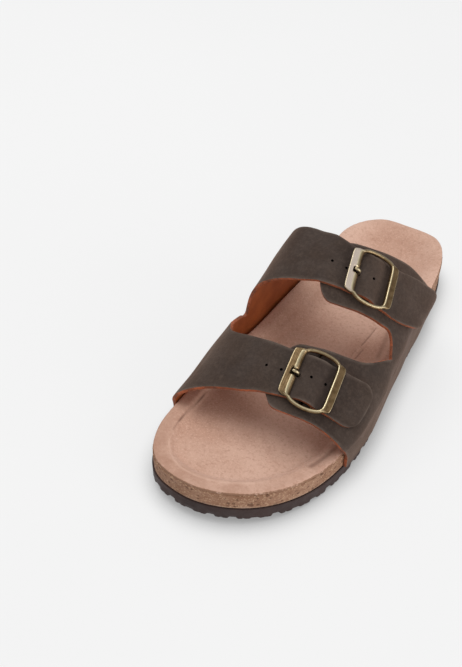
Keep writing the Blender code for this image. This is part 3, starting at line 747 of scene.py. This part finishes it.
HOME = Vector((-BOX_MIDDLE_ACROSS, BOX_MIDDLE_ALONG, 0))


def to_world(points):
    """Points as (across, -along, height) in millimetres to the part's frame in metres."""
    return (np.asarray(points, float) + np.array(HOME)) * MM


def from_world(points):
    """Back from the part's frame in metres to (across, -along, height) in millimetres."""
    return np.array(points) / MM - np.array(HOME)


def add_verts(bm, points):
    return [bm.verts.new(point) for point in to_world(points)]


def mesh_object(name, bm, materials, sharp=SHARP):
    bmesh.ops.recalc_face_normals(bm, faces=bm.faces)
    mesh = bpy.data.meshes.new(name)
    bm.to_mesh(mesh)
    bm.free()
    return place_mesh(name, mesh, materials, sharp)


def place_mesh(name, mesh, materials, sharp):
    for material in materials:
        mesh.materials.append(material)
    mesh.shade_smooth()
    mesh.set_sharp_from_angle(angle=math.radians(sharp))
    obj = bpy.data.objects.new(name, mesh)
    bpy.context.scene.collection.objects.link(obj)
    return obj


def stand_for(obj, slot, *nodes):
    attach(obj, "root")
    if nodes:
        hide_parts(*nodes)


def join_rings(bm, upper, lower):
    count = len(upper)
    for i in range(count):
        j = (i + 1) % count
        bm.faces.new((upper[i], lower[i], lower[j], upper[j]))


def join_rows(bm, rows):
    for row, following in zip(rows, rows[1:]):
        for k in range(len(row) - 1):
            bm.faces.new((row[k], row[k + 1], following[k + 1], following[k]))


def ladder(bm, ring, rungs=1, height=None):
    """Closes a ring with rungs from each column to the one that faces it, at height(along, across)."""
    half = len(ring) // 2
    starts = from_world([ring[i].co for i in range(1, half)])
    ends = from_world([ring[-i].co for i in range(1, half)])
    shares = np.linspace(0, 1, rungs + 1)[1:-1, None, None]
    between = starts + (ends - starts) * shares
    flat = between.reshape(-1, 3)
    if height:
        flat[:, 2] = height(-flat[:, 1], flat[:, 0])
    made = np.array(add_verts(bm, flat), dtype=object).reshape(rungs - 1, half - 1)
    rows = [[ring[i], *made[:, i - 1], ring[-i]] for i in range(1, half)]
    for end, row in ((ring[0], rows[0]), (ring[half], rows[-1])):
        for k in range(rungs):
            bm.faces.new((end, row[k], row[k + 1]))
    join_rows(bm, rows)


def ring_at(bm, outline, inset, height):
    """A ring of vertices inside the outline. inset is one number or one for each column."""
    points = outline - outward(outline) * np.broadcast_to(inset, len(outline))[:, None]
    along = points[:, 0]
    across = points[:, 1]
    return add_verts(bm, np.stack([across, -along, height(along, across)], axis=1))


def insole_under(along, across):
    return footbed_top(along, across) - INSOLE_THICKNESS


def paint(obj, name, values):
    """Keeps a number for each vertex under this name, for a material to read."""
    obj.data.attributes.new(name, "FLOAT", "POINT").data.foreach_set("value", values)


def make_insole(material):
    outline = even_outline(SOLE_COLUMNS)
    bm = bmesh.new()
    rings = [ring_at(bm, outline, inset, bed_surface) for inset in BED_RINGS]
    for upper, lower in zip(rings, rings[1:]):
        join_rings(bm, upper, lower)
    ladder(bm, rings[-1], BED_RUNGS, bed_surface)
    under = ring_at(bm, outline, INSOLE_INSET, insole_under)
    join_rings(bm, rings[0], under)
    ladder(bm, under, PLAIN_RUNGS, insole_under)
    obj = mesh_object("insole_suede", bm, [material])
    points = from_world([vertex.co for vertex in obj.data.vertices])
    along = -points[:, 1]
    across = points[:, 0]
    inset = inset_at(along, across)
    width, fade, start = RIM_DARKENING
    front = ease((along / LENGTH - start) / (1 - start))
    # Painted shade in the creases and painted highlight along the raised folds, for the suede's colour
    paint(obj, "crease_shading", bed_creases(along, across)[1])
    paint(obj, "edge", 1 - np.clip((inset - INSOLE_INSET) / EDGE_FUZZ, 0, 1))
    paint(obj, "rim", ease((width - inset) / fade) * front)
    stand_for(obj, "suede", "insole")


def make_midsole(material):
    """The cork's side is a little uneven, with a line of glue at its foot."""
    outline = even_outline(SOLE_COLUMNS)
    bm = bmesh.new()
    glue = bm.verts.layers.float.new("glue")

    def top(along, across):
        return insole_under(along, across) - GAP

    def bottom(along, _):
        return outsole_top(along) + GAP

    def level(share):
        return lambda s, x: bottom(s, x) * (1 - share) + (top(s, x) - CORK_TOP_DROP) * share

    first, second = (np.sin(np.arange(SOLE_COLUMNS) * wave) for wave in CORK_WAVES)
    rough = CORK_ROUGH * first * second
    foot = ring_at(bm, outline, 0.0, bottom)
    line = ring_at(bm, outline, 0.0, lambda s, x: bottom(s, x) + GLUE_LINE)
    rings = [foot, line]
    for k in range(1, CORK_RINGS + 1):
        rings.append(ring_at(bm, outline, np.roll(rough, CORK_SHIFT * k), level(k / CORK_RINGS)))
    rings.append(ring_at(bm, outline, CORK_TOP_INSET, top))
    for vertex in foot + line:
        vertex[glue] = 1.0
    for lower, upper in zip(rings, rings[1:]):
        join_rings(bm, upper, lower)
    ladder(bm, rings[-1], PLAIN_RUNGS, top)
    ladder(bm, foot)
    stand_for(mesh_object("midsole_cork", bm, [material]), "cork", "midsole")


def lug_notch(share):
    """How deep the edge is notched at this share of a lug: 0 on the lug and 1 in the notch."""
    rise = ease((share - LUG_FLAT) / LUG_RAMP)
    start, end = SMALL_NOTCH
    small = SMALL_NOTCH_DEPTH * ease((share - start) / LUG_RAMP * 2) * ease((end - share) / LUG_RAMP * 2)
    return rise * ease((1 - share) / LUG_RAMP) + small


def tread(along, across):
    """Wavy grooves across the underside, which end before its edge."""
    wave = TREAD_WAVE * np.sin(2 * math.pi * across / TREAD_WAVE_LENGTH)
    groove = ease((np.cos(2 * math.pi * (along + wave) / TREAD_PITCH) - TREAD_LAND) / TREAD_WALL)
    inside = ease((inset_at(along, across) - TREAD_INSET - TREAD_MARGIN) / TREAD_FADE)
    return spring(along) + TREAD_DEPTH * groove * inside


def make_outsole(material):
    steps = np.linspace(0, 1, LUG_STEPS, endpoint=False)
    starts = np.arange(LUG_COUNT // 2)[:, None] * 2 / LUG_COUNT
    outline = outline_points((starts + steps * 2 / LUG_COUNT).ravel())
    depths = 1 - LUG_UNEVEN * (1 + np.sin(np.arange(LUG_COUNT) * LUG_RHYTHM)) / 2
    notch = (depths[:, None] * lug_notch(steps)).ravel()
    bm = bmesh.new()
    proud = -OUTSOLE_PROUD
    edge = proud + LUG_INSET * notch
    low = LUG_DEPTH * notch
    profile = (
        # inset from the outline, surface that the height starts from, height above it
        (OUTSOLE_SHELF, outsole_top, 0.0),
        (proud + OUTSOLE_ROUND, outsole_top, 0.0),
        (proud, outsole_top, -OUTSOLE_ROUND),
        (proud, spring, LUG_TOP + LUG_TOP_RAMP),
        (proud + LUG_TOP_INSET * notch, spring, LUG_TOP),
        (edge, spring, low + LUG_ROUND),
        (edge + LUG_ROUND, spring, low),
        (TREAD_INSET - NOTCH_END, spring, low * NOTCH_END_SHARE),
        (TREAD_INSET, spring, 0.0),
    )
    rings = [ring_at(bm, outline, inset, lambda s, x: base(s) + more) for inset, base, more in profile]
    for upper, lower in zip(rings, rings[1:]):
        join_rings(bm, upper, lower)
    ladder(bm, rings[0])
    ladder(bm, rings[-1], TREAD_RUNGS, tread)
    stand_for(mesh_object("outsole_rubber", bm, [material]), "rubber", "outsole")


# The upper's leather

def band_rows(first, last, rows, corner, girth):
    """A band's rows, as turns and how far each row draws in its corners."""
    toward = math.copysign(1.0, last - first)
    round_start = last - toward * corner / girth
    angle = np.linspace(0, math.pi / 2, END_ROWS + 1)[1:]
    turns = np.concatenate(
        [np.linspace(first, round_start, rows + 1), round_start + toward * corner / girth * np.sin(angle)]
    )
    draws = np.concatenate([np.zeros(rows + 1), corner * (1 - np.cos(angle))])
    return turns, draws


def make_quarter(name, edges, notch, sole_turn, bands, lift, materials):
    """A leather quarter with its two bands, as an open sheet.

    bands gives (end turn, rows, corner, girth), with no rows for the bridge between the straps.
    lift(band, along, turn) raises the face.
    """
    bm = bmesh.new()
    worn_and_highlit = bm.verts.layers.float.new("worn_and_highlit")
    toward = math.copysign(1.0, notch - sole_turn)
    share = np.linspace(0, 1, BAND_COLUMNS + 1)[None, :]
    climb = np.linspace(0, 1, QUARTER_ROWS + 1)[:, None]

    def grid(band, turns, draws, free, to_end):
        lead, trail = rows_at(edges, turns)[list(BANDS[band][0])] * LENGTH
        along = (lead - draws) + (trail - lead + 2 * draws) * share
        rise = uneven(along, turns) - upper_creases(along, turns)
        if band != "bridge":
            rise = rise + lift(band, along, turns)
        points = lifted(along, turns, rise)
        width = np.abs(trail - lead) - 2 * draws
        to_lead = share * width + NOT_FREE * (not free[0])
        to_trail = (1 - share) * width + NOT_FREE * (not free[1])
        reach = np.minimum(np.minimum(to_lead, to_trail), to_end)
        made = np.array(add_verts(bm, points.reshape(-1, 3)), dtype=object).reshape(points.shape[:2])
        for vertex, away in zip(made.ravel(), reach.ravel()):
            vertex[worn_and_highlit] = math.exp(-((away / WORN_WIDTH) ** 2))
        join_rows(bm, made)

    for band, (end, rows, corner, girth) in bands.items():
        top = np.full(share.shape, notch)
        to_notch = np.inf
        if band == "bridge":
            top = notch + NOTCH_ROUND * (np.abs(2 * share - 1) ** NOTCH_POWER - 1) * toward
            to_notch = (1 - climb) * np.abs(notch - sole_turn) * TURN_LENGTH
        grid(band, sole_turn + (top - sole_turn) * climb, np.zeros_like(climb), BANDS[band][1], to_notch)
        if rows:
            turns, draws = band_rows(notch, end, rows, corner, girth)
            to_end = np.abs(end - turns)[:, None] * girth
            grid(band, turns[:, None] + 0 * share, draws[:, None], (True, True), to_end)
    bmesh.ops.remove_doubles(bm, verts=bm.verts, dist=WELD * MM)
    obj = mesh_object(name, bm, materials)
    thick = obj.modifiers.new("leather", "SOLIDIFY")
    thick.thickness = LEATHER * MM
    thick.offset = -1
    thick.use_even_offset = True
    thick.material_offset = 1
    thick.material_offset_rim = 2
    return obj


def in_metres(matrix):
    """A frame in millimetres as a matrix for a mesh in metres, in the part's frame."""
    moved = Matrix.Translation(HOME) @ matrix
    moved.translation *= MM
    return moved


def add_hole(bm, matrix, radius, depth):
    bmesh.ops.create_cone(
        bm,
        cap_ends=True,
        segments=HOLE_SIDES,
        radius1=radius * MM,
        radius2=radius * MM,
        depth=depth * MM,
        matrix=in_metres(matrix),
    )


def cutter(name, bm):
    """A shape to cut the leather with, whose faces become the walls of the holes, painted near black as
    shade.
    """
    for face in bm.faces:
        face.material_index = HOLE_MATERIAL
    return mesh_object(name, bm, [])


def strap_holes():
    """Cutters for the straps: the row of holes, and the one that the prong comes through."""
    bm = bmesh.new()
    for name, holes in HOLES.items():
        for turn, share in holes:
            lead, trail = rows_at(INNER_EDGES, turn)[list(BANDS[name][0])] * LENGTH
            along = np.array(lead + (trail - lead) * share)
            turn = np.array(turn)
            place = Vector(lifted(along, turn, strap_lift(name, along, turn)))
            off = Vector(upper_normal(along, turn))
            matrix = Matrix.Translation(place) @ off.to_track_quat("Z", "X").to_matrix().to_4x4()
            add_hole(bm, matrix, HOLE_RADIUS, HOLE_REACH)
        matrix = BUCKLE_FRAMES[name] @ Matrix.Translation((PRONG_HOLE_AT, 0, -CUT_DEPTH / 2))
        add_hole(bm, matrix, PRONG_HOLE_RADIUS, CUT_DEPTH)
    return cutter("strap_holes", bm)


def tongue_slots():
    """Cutters for the tongues: blind slots for the prongs' heels, so that the bed doesn't show through."""
    bm = bmesh.new()
    for name in BUCKLES:
        low = centre_bar_height(name) - CENTRE_BAR_RADIUS - CENTRE_BAR_LIFT - SLOT_DEPTH + CUT_DEPTH / 2
        size = Matrix.Diagonal((SLOT_END - SLOT_START, 2 * SLOT_HALF_WIDTH, CUT_DEPTH, 1))
        matrix = in_metres(BUCKLE_FRAMES[name] @ Matrix.Translation(((SLOT_START + SLOT_END) / 2, 0, low)))
        bmesh.ops.create_cube(bm, size=MM, matrix=matrix @ size)
    return cutter("tongue_slots", bm)


def cut_and_round(obj, shape):
    """Cuts the leather, rounds its edges and keeps the result as plain mesh."""
    cut = obj.modifiers.new("cut", "BOOLEAN")
    cut.operation = "DIFFERENCE"
    cut.object = shape
    rounded = obj.modifiers.new("edges", "BEVEL")
    rounded.width = EDGE_ROUND * MM
    rounded.segments = EDGE_SEGMENTS
    rounded.limit_method = "ANGLE"
    rounded.angle_limit = math.radians(EDGE_ANGLE)
    bpy.context.view_layer.update()
    graph = bpy.context.evaluated_depsgraph_get()
    mesh = bpy.data.meshes.new_from_object(obj.evaluated_get(graph))
    name = obj.name
    bpy.data.objects.remove(obj)
    bpy.data.objects.remove(shape)
    return place_mesh(name, mesh, [], LEATHER_SHARP)


def no_lift(*_):
    return 0.0


def make_upper(materials):
    straps = {"bridge": (0, 0, 0, 0)}
    tongues = {"bridge": (0, 0, 0, 0)}
    for name, (tail_end, tongue_end, tail_corner, tongue_corner, girth, _) in STRAPS.items():
        straps[name] = (tail_end, STRAP_ROWS, tail_corner, girth)
        tongues[name] = (tongue_end, TONGUE_ROWS, tongue_corner, girth)
    inner = make_quarter("inner_quarter", INNER_EDGES, INNER_NOTCH, INNER_FOOT, straps, strap_lift, materials)
    stand_for(cut_and_round(inner, strap_holes()), "leather", "upper")
    outer = make_quarter("outer_quarter", OUTER_EDGES, OUTER_NOTCH, OUTER_FOOT, tongues, no_lift, materials)
    stand_for(cut_and_round(outer, tongue_slots()), "leather")


# Buckles and prongs

def centre_bar_height(name):
    return in_buckle(name, lifted(*buckle_middle(name), CENTRE_BAR_LIFT + CENTRE_BAR_RADIUS))[2]


def frame_loop():
    """Points of the buckle's loop at equal steps, and how far its bowed sides dip towards the strap."""
    angle = np.linspace(0, 2 * math.pi, FRAME_FINE + 1)
    wave = np.stack([np.cos(angle), np.sin(angle)])
    x = BAR_SPAN / 2 * np.sign(wave[0]) * np.abs(wave[0]) ** (2 / CORNER_POWER)
    y = BAR_REACH * np.sign(wave[1]) * np.abs(wave[1]) ** (2 / CORNER_POWER)
    bow = SIDE_BOW * (1 - (2 * x / BAR_SPAN) ** 2)
    loop = np.stack([BAR_MIDDLE + x, y + bow * y / BAR_REACH], axis=1)
    points = spaced(loop, np.arange(FRAME_POINTS) / FRAME_POINTS)
    return points, SIDE_SAG * (1 - (2 * (points[:, 0] - BAR_MIDDLE) / BAR_SPAN) ** 2)


def tube(bm, points, radii, sides, side):
    """A round bar through these points, closed at both ends. side is a direction square to its plane."""
    points = np.array(points, float)
    run = np.gradient(points, axis=0)
    run /= np.linalg.norm(run, axis=1)[:, None]
    up = np.cross(run, side)
    up /= np.linalg.norm(up, axis=1)[:, None]
    angle = np.linspace(0, 2 * math.pi, sides, endpoint=False)[:, None]
    rings = []
    for point, off, radius in zip(points, up, radii):
        ring = point + radius * (np.cos(angle) * off + np.sin(angle) * np.array(side, float))
        rings.append([bm.verts.new(corner * MM) for corner in ring])
    for first, second in zip(rings, rings[1:]):
        join_rings(bm, first, second)
    bm.faces.new(rings[0])
    bm.faces.new(rings[-1])


def make_buckle(name, material):
    """A loop with flat ridged bars and thin round sides, and the hidden bar that the prong hooks round, with
    painted highlight, reflection and shade kept on its vertices.
    """
    points, dips = frame_loop()
    run = np.roll(points, -1, axis=0) - np.roll(points, 1, axis=0)
    run /= np.linalg.norm(run, axis=1)[:, None]
    out = np.stack([run[:, 1], -run[:, 0]], axis=1)
    sideways = (points[:, 0] - BAR_MIDDLE) / (BAR_SPAN / 2)
    on_bar = ease((BAR_END - np.abs(points[:, 1])) / BAR_END_RUN) * (np.abs(sideways) > BAR_STRETCH)
    square = np.stack([np.sign(sideways), np.zeros(FRAME_POINTS)], axis=1)
    out = out + (square - out) * on_bar[:, None]
    inner = sideways < 0
    at_rest = ease(PRONG_REST_SOFT - np.abs(points[:, 1]) / (PRONG_REST_WIDTH / 2)) * inner
    table = np.array(BAR_SECTION)
    shares = np.union1d(table[:-1, 0], np.arange(FRAME_SIDES) / FRAME_SIDES)
    columns = [np.interp(shares, table[:, 0], column) for column in table[:, 1:].T]
    inner_out, outer_out, bar_up, bar_wear_and_highlight, bar_flat = columns
    angle = 2 * math.pi * shares
    side_top = np.maximum(np.sin(angle), 0) ** SIDE_SHINE
    bm = bmesh.new()
    wear_and_highlight = bm.verts.layers.float.new("wear_and_highlight")
    sky_reflection = bm.verts.layers.float.new("sky_reflection")
    painted_shade = bm.verts.layers.float.new("painted_shade")
    rings = []
    for k, bar in enumerate(on_bar):
        bar_out, (outwards, inwards) = (inner_out, INNER_BAR) if inner[k] else (outer_out, OUTER_BAR)
        bar_aside = np.where(bar_out > 0, outwards, inwards) * bar_out
        aside = SIDE_WIDTH / 2 * np.cos(angle) * (1 - bar) + bar_aside * bar
        up = BAR_THICKNESS / 2 * (np.sin(angle) * (1 - bar) + bar_up * bar)
        rest = at_rest[k] * ease((PRONG_REST_END - aside) / PRONG_REST_RAMP)
        aside = aside + rest * np.maximum(PRONG_REST_EDGE - aside, 0)
        up = np.where(up > 0, up * (1 - rest * PRONG_REST / (BAR_THICKNESS / 2)), up) - dips[k]
        flat = points[k] + out[k] * aside[:, None]
        ring = [bm.verts.new((x * MM, y * MM, z * MM)) for (x, y), z in zip(flat, up)]
        # Painted highlight along the tops of the sides and the bars' ridges, with some wear on the bars
        side_highlight = side_top * SIDE_HIGHLIGHT[int(points[k, 1] > 0)]
        worn_and_highlit = (side_highlight * (1 - bar) + bar_wear_and_highlight * bar) * (1 - rest)
        # Painted sky reflection and painted shade on the inner bar's flat face
        face = bar_flat * bar * inner[k] * (1 - rest)
        # Painted shade in the prong's rest and on the front buckle's inner flat face
        for vertex, *values in zip(ring, worn_and_highlit, SKY_REFLECTION_BARS[name] * face, rest + PAINTED_SHADE_BARS[name] * face):
            vertex[wear_and_highlight], vertex[sky_reflection], vertex[painted_shade] = values
        rings.append(ring)
    for k in range(FRAME_POINTS):
        join_rings(bm, rings[k], rings[(k + 1) % FRAME_POINTS])
    low = centre_bar_height(name)
    end = BAR_REACH + SIDE_BOW
    bend = (end + CENTRE_BAR_FLAT) / 2
    half = [(end, -CENTRE_BAR_DROP), (bend, low * CENTRE_BAR_BEND), (CENTRE_BAR_FLAT, low)]
    route = [(0, -y, z) for y, z in half] + [(0, y, z) for y, z in reversed(half)]
    loop = len(bm.verts)
    tube(bm, route, [CENTRE_BAR_RADIUS] * len(route), CENTRE_BAR_SIDES, (1, 0, 0))
    bm.verts.ensure_lookup_table()
    # Painted shade over the hidden bar under the strap
    for vertex in bm.verts[loop:]:
        vertex[painted_shade] = 1.0
    obj = mesh_object("buckle_frame_" + name, bm, [material], BUCKLE_SHARP)
    obj.matrix_world = in_metres(BUCKLE_FRAMES[name])
    stand_for(obj, "brass", "buckle_" + name)


def make_prong(name, material):
    """A pin from under the hidden bar, up through the strap and into the rest on the inner bar."""
    under = centre_bar_height(name) - CENTRE_BAR_RADIUS - GAP - PRONG_RADIUS
    over = BAR_THICKNESS / 2 - PRONG_REST + GAP + PRONG_RADIUS
    route = [(PRONG_HEEL, 0, under)]
    for step, share, more in PRONG_RISE:
        route.append((PRONG_HOLE_AT + step, 0, under + (over - under) * share + more))
    route.append((PRONG_TIP, 0, over - PRONG_TIP_DROP))
    fine = np.linspace(0, len(route) - 1, PRONG_STEPS)
    points = rows_at(np.column_stack([np.arange(len(route)), route]), fine).T
    tip = np.clip((points[:, 0] - PRONG_TIP) / PRONG_POINT, 0, 1)
    radii = PRONG_RADIUS * np.sqrt(1 - PRONG_TAPER * (1 - tip) ** 2)
    bm = bmesh.new()
    wear_and_highlight = bm.verts.layers.float.new("wear_and_highlight")
    tube(bm, points, radii, PRONG_SIDES, (0, 1, 0))
    for vertex in bm.verts:
        vertex[wear_and_highlight] = PRONG_WEAR
    obj = mesh_object("prong_pin_" + name, bm, [material], PRONG_SHARP)
    obj.matrix_world = in_metres(BUCKLE_FRAMES[name])
    stand_for(obj, "brass", "prong_" + name)


# Materials

def linear(red, green, blue):
    """A display colour from 0 to 255 as a linear colour."""
    shares = [value / 255 for value in (red, green, blue)]
    return tuple(v / 12.92 if v <= 0.04045 else ((v + 0.055) / 1.055) ** 2.4 for v in shares)


class Look:
    """A Principled material with the tones of its table, and short calls for the nodes that feed it."""

    def __init__(self, name, roughness, metallic=0.0, sheen=0.0, sheen_tint=(255, 255, 255), specular=0.5):
        self.name = name
        self.material = bpy.data.materials.new(name)
        self.material.use_nodes = True
        self.tree = self.material.node_tree
        self.shader = self.tree.nodes["Principled BSDF"]
        self.set("Roughness", roughness)
        self.set("Metallic", metallic)
        self.set("Sheen Weight", sheen)
        self.set("Sheen Tint", linear(*sheen_tint))
        self.set("Specular IOR Level", specular)
        self.place = self.node("TexCoord").outputs["Object"]
        self.tone, *spots = TONES[name]
        for colour, size, detail, rough, low, high, share in spots:
            self.tint(self.range(self.noise(size, detail, rough), low, high, 0.0, share), colour)

    def put(self, value, socket):
        if isinstance(value, bpy.types.NodeSocket):
            self.tree.links.new(value, socket)
        elif isinstance(value, tuple):
            socket.default_value = (*value, 1)[: len(socket.default_value)]
        else:
            socket.default_value = value

    def set(self, name, value):
        self.put(value, self.shader.inputs[name])

    def node(self, kind, **inputs):
        """A new node with these values or sockets in its inputs."""
        node = self.tree.nodes.new("ShaderNode" + kind)
        for name, value in inputs.items():
            self.put(value, node.inputs[name])
        return node

    def stretched(self, x, y, z):
        return self.node("Mapping", Vector=self.place, Scale=(x, y, z)).outputs["Vector"]

    def noise(self, size, detail=3.0, rough=0.5, place=None):
        """Noise from 0 to 1 with features of this size, in millimetres or in the units of the place."""
        scale = 1 / size if place else 1 / (size * MM)
        place = place or self.place
        return self.node("TexNoise", Vector=place, Scale=scale, Detail=detail, Roughness=rough).outputs["Fac"]

    def cells(self, size, output):
        return self.node("TexVoronoi", Vector=self.place, Scale=1 / (size * MM)).outputs[output]

    def cell_shades(self, size):
        """A random number from 0 to 1 for each cell."""
        return self.node("SeparateColor", Color=self.cells(size, "Color")).outputs["Red"]

    def attribute(self, name):
        node = self.node("Attribute")
        node.attribute_name = name
        return node.outputs["Fac"]

    def openness(self, reach):
        """How open the space over the surface is, from 0 to 1, within this reach in millimetres."""
        return self.node("AmbientOcclusion", Distance=reach * MM).outputs["AO"]

    def range(self, value, low, high, start=0.0, end=1.0):
        """From start to end as the value goes from low to high."""
        node = self.node("MapRange", Value=value)
        node.interpolation_type = "SMOOTHSTEP"
        for name, number in zip(("From Min", "From Max", "To Min", "To Max"), (low, high, start, end)):
            node.inputs[name].default_value = number
        return node.outputs["Result"]

    def math(self, operation, first, second):
        node = self.node("Math")
        node.operation = operation
        self.put(first, node.inputs[0])
        self.put(second, node.inputs[1])
        return node.outputs["Value"]

    def patchy(self, name, *noise):
        """An attribute of the mesh, times a range of the noise."""
        return self.math("MULTIPLY", self.attribute(name), self.range(*noise))

    def tint(self, share, colour):
        """Turns the tone by this share to another colour, and the material takes it."""
        node = self.node("Mix")
        node.data_type = "RGBA"
        self.put(share, node.inputs["Factor"])
        self.put(linear(*self.tone) if isinstance(self.tone, tuple) else self.tone, node.inputs[MIX_FIRST])
        self.put(linear(*colour), node.inputs[MIX_SECOND])
        self.tone = node.outputs[MIX_RESULT]
        self.set("Base Color", self.tone)

    def bump(self, *layers):
        """Layers of (height, depth in millimetres), and over them the material's own grain."""
        grain = [(self.noise(size, detail, rough), depth) for size, detail, rough, depth in GRAIN[self.name]]
        normal = None
        for height, depth in (*layers, *grain):
            node = self.node("Bump", Distance=depth * MM, Height=height)
            if normal:
                self.put(normal, node.inputs["Normal"])
            normal = node.outputs["Normal"]
        self.set("Normal", normal)
        return self.material


def nubuck():
    look = Look("nubuck", 0.8, sheen=0.40, sheen_tint=(200, 158, 134), specular=0.25)
    look.tint(look.patchy("worn_and_highlit", look.noise(11, 4), 0.3, 0.7, 0.1, 0.45), (122, 108, 98))
    look.set("Roughness", look.range(look.noise(12, 4), 0.3, 0.7, 0.68, 0.88))
    return look.bump()


def lining():
    return Look("lining", 0.6, specular=0.4).bump()


def cut_edge():
    return Look("cut_edge", 0.7, specular=0.3).bump()


# Near black: painted shade for the inside of each hole
def painted_hole_shade():
    return Look("painted_hole_shade", 0.95, specular=0.1).bump()


def suede():
    look = Look("suede", 0.9, sheen=0.2, sheen_tint=(255, 230, 215), specular=0.2)
    # Darker towards the rim in front
    look.tint(look.patchy("rim", look.noise(9, 5, 0.65), 0.3, 0.7, 0.25, 0.75), (166, 126, 106))
    # Painted shade in the creases, and painted highlight along the raised folds
    crease_shading = look.attribute("crease_shading")
    look.tint(look.range(crease_shading, 0.05, 0.9, 0.0, 0.75), (88, 54, 40))
    look.tint(look.range(crease_shading, -0.05, -0.5, 0.0, 0.4), (226, 192, 172))
    fray = look.range(look.noise(1.6, 4, 0.6), 0.3, 0.7, -0.2, 0.2)
    ragged = look.math("ADD", look.attribute("edge"), fray)
    look.tint(look.range(ragged, 0.55, 0.8), (142, 105, 82))
    return look.bump()


def cork():
    look = Look("cork", 0.85, specular=0.25)
    grain = look.cell_shades(CORK_GRAIN)
    look.tint(look.range(grain, 0.2, 0.9, 0.0, 0.40), (122, 84, 62))
    look.tint(look.range(look.cell_shades(CORK_FLECKS), 0.80, 0.88, 0.0, 0.50), (198, 164, 134))
    look.tint(look.range(grain, 0.90, 0.95, 0.0, 0.60), (84, 56, 42))
    look.tint(look.patchy("glue", look.noise(6, 3), 0.4, 0.7, 0.1, 0.6), (188, 160, 142))
    return look.bump((look.cells(CORK_GRAIN, "Distance"), CORK_PITS))


def rubber():
    look = Look("rubber", 0.7, specular=0.3)
    look.set("Roughness", look.range(look.noise(6, 4), 0.3, 0.7, 0.6, 0.8))
    return look.bump()


def brass():
    look = Look("brass", 0.35, metallic=1.0)
    streaks = look.noise(1, 3, 0.6, look.stretched(*BRUSHED))
    look.tint(look.range(streaks, 0.45, 0.75, 0.0, 0.65), (72, 56, 39))
    # Painted reflection of the sky on the rear buckle's inner flat face
    look.tint(look.patchy("sky_reflection", streaks, 0.3, 0.7, 0.95, 0.75), (244, 228, 212))
    # Wear and painted highlight on the bars' ridges and the tops of the sides
    look.tint(look.attribute("wear_and_highlight"), (242, 228, 188))
    # Painted shade in the prong's rest, on the front buckle's inner flat face and on the hidden bar
    look.tint(look.range(look.attribute("painted_shade"), 0.2, 0.9), (34, 26, 17))
    look.set("Roughness", look.range(streaks, 0.3, 0.7, 0.28, 0.46))
    return look.bump((streaks, BRUSH_DEPTH))


def floor_paint():
    """A pale table that is lit from inside as well, so that shadows on it stay faint, with its glow lowered
    near what stands on it as a painted contact shadow.
    """
    look = Look("floor_paint", 0.9, specular=0.1)
    look.set("Emission Color", (1, 1, 1))
    # Less glow where something stands close over the floor: a painted contact shadow
    glow = look.range(look.openness(CONTACT_REACH), CONTACT_OPENNESS, 1.0, CONTACT_GLOW, FLOOR_GLOW)
    look.set("Emission Strength", glow)
    return look.material


# Camera, floor and light

def make_camera():
    forward = Vector(CAMERA_FORWARD).normalized()
    right = forward.cross(Vector((0, 0, 1))).normalized()
    up = right.cross(forward)
    across = right * math.cos(CAMERA_ROLL) - up * math.sin(CAMERA_ROLL)
    upright = right * math.sin(CAMERA_ROLL) + up * math.cos(CAMERA_ROLL)
    data = bpy.data.cameras.new("camera")
    data.lens = CAMERA_LENS
    data.sensor_width = CAMERA_SENSOR
    data.clip_end = CAMERA_CLIP
    camera = bpy.data.objects.new("camera", data)
    turned = Matrix((across, upright, -forward)).transposed().to_4x4()
    camera.matrix_world = Matrix.Translation(Vector(CAMERA_PLACE) * MM) @ turned
    bpy.context.scene.collection.objects.link(camera)
    bpy.context.scene.camera = camera


def make_floor():
    bm = bmesh.new()
    bmesh.ops.create_grid(bm, x_segments=1, y_segments=1, size=FLOOR_HALF)
    mesh_object("floor", bm, [floor_paint()])


def make_light(name, place, target, size, watts):
    data = bpy.data.lights.new(name, "AREA")
    data.size = size
    data.energy = watts
    light = bpy.data.objects.new(name, data)
    light.location = place
    light.rotation_euler = (Vector(target) - Vector(place)).to_track_quat("-Z", "Y").to_euler()
    bpy.context.scene.collection.objects.link(light)


def make_lights():
    world = bpy.data.worlds.new("studio")
    world.use_nodes = True
    sky = world.node_tree.nodes["Background"]
    sky.inputs["Color"].default_value = (1, 1, 1, 1)
    sky.inputs["Strength"].default_value = SKY_STRENGTH
    bpy.context.scene.world = world
    for name, values in LIGHTS.items():
        make_light(name, *values)
    bpy.context.scene.view_settings.view_transform = "Standard"


LEATHERS = [nubuck(), lining(), cut_edge(), painted_hole_shade()]
BRASS = brass()
make_outsole(rubber())
make_midsole(cork())
make_insole(suede())
make_upper(LEATHERS)
for buckle in BUCKLES:
    make_buckle(buckle, BRASS)
    make_prong(buckle, BRASS)
make_floor()
make_lights()
make_camera()
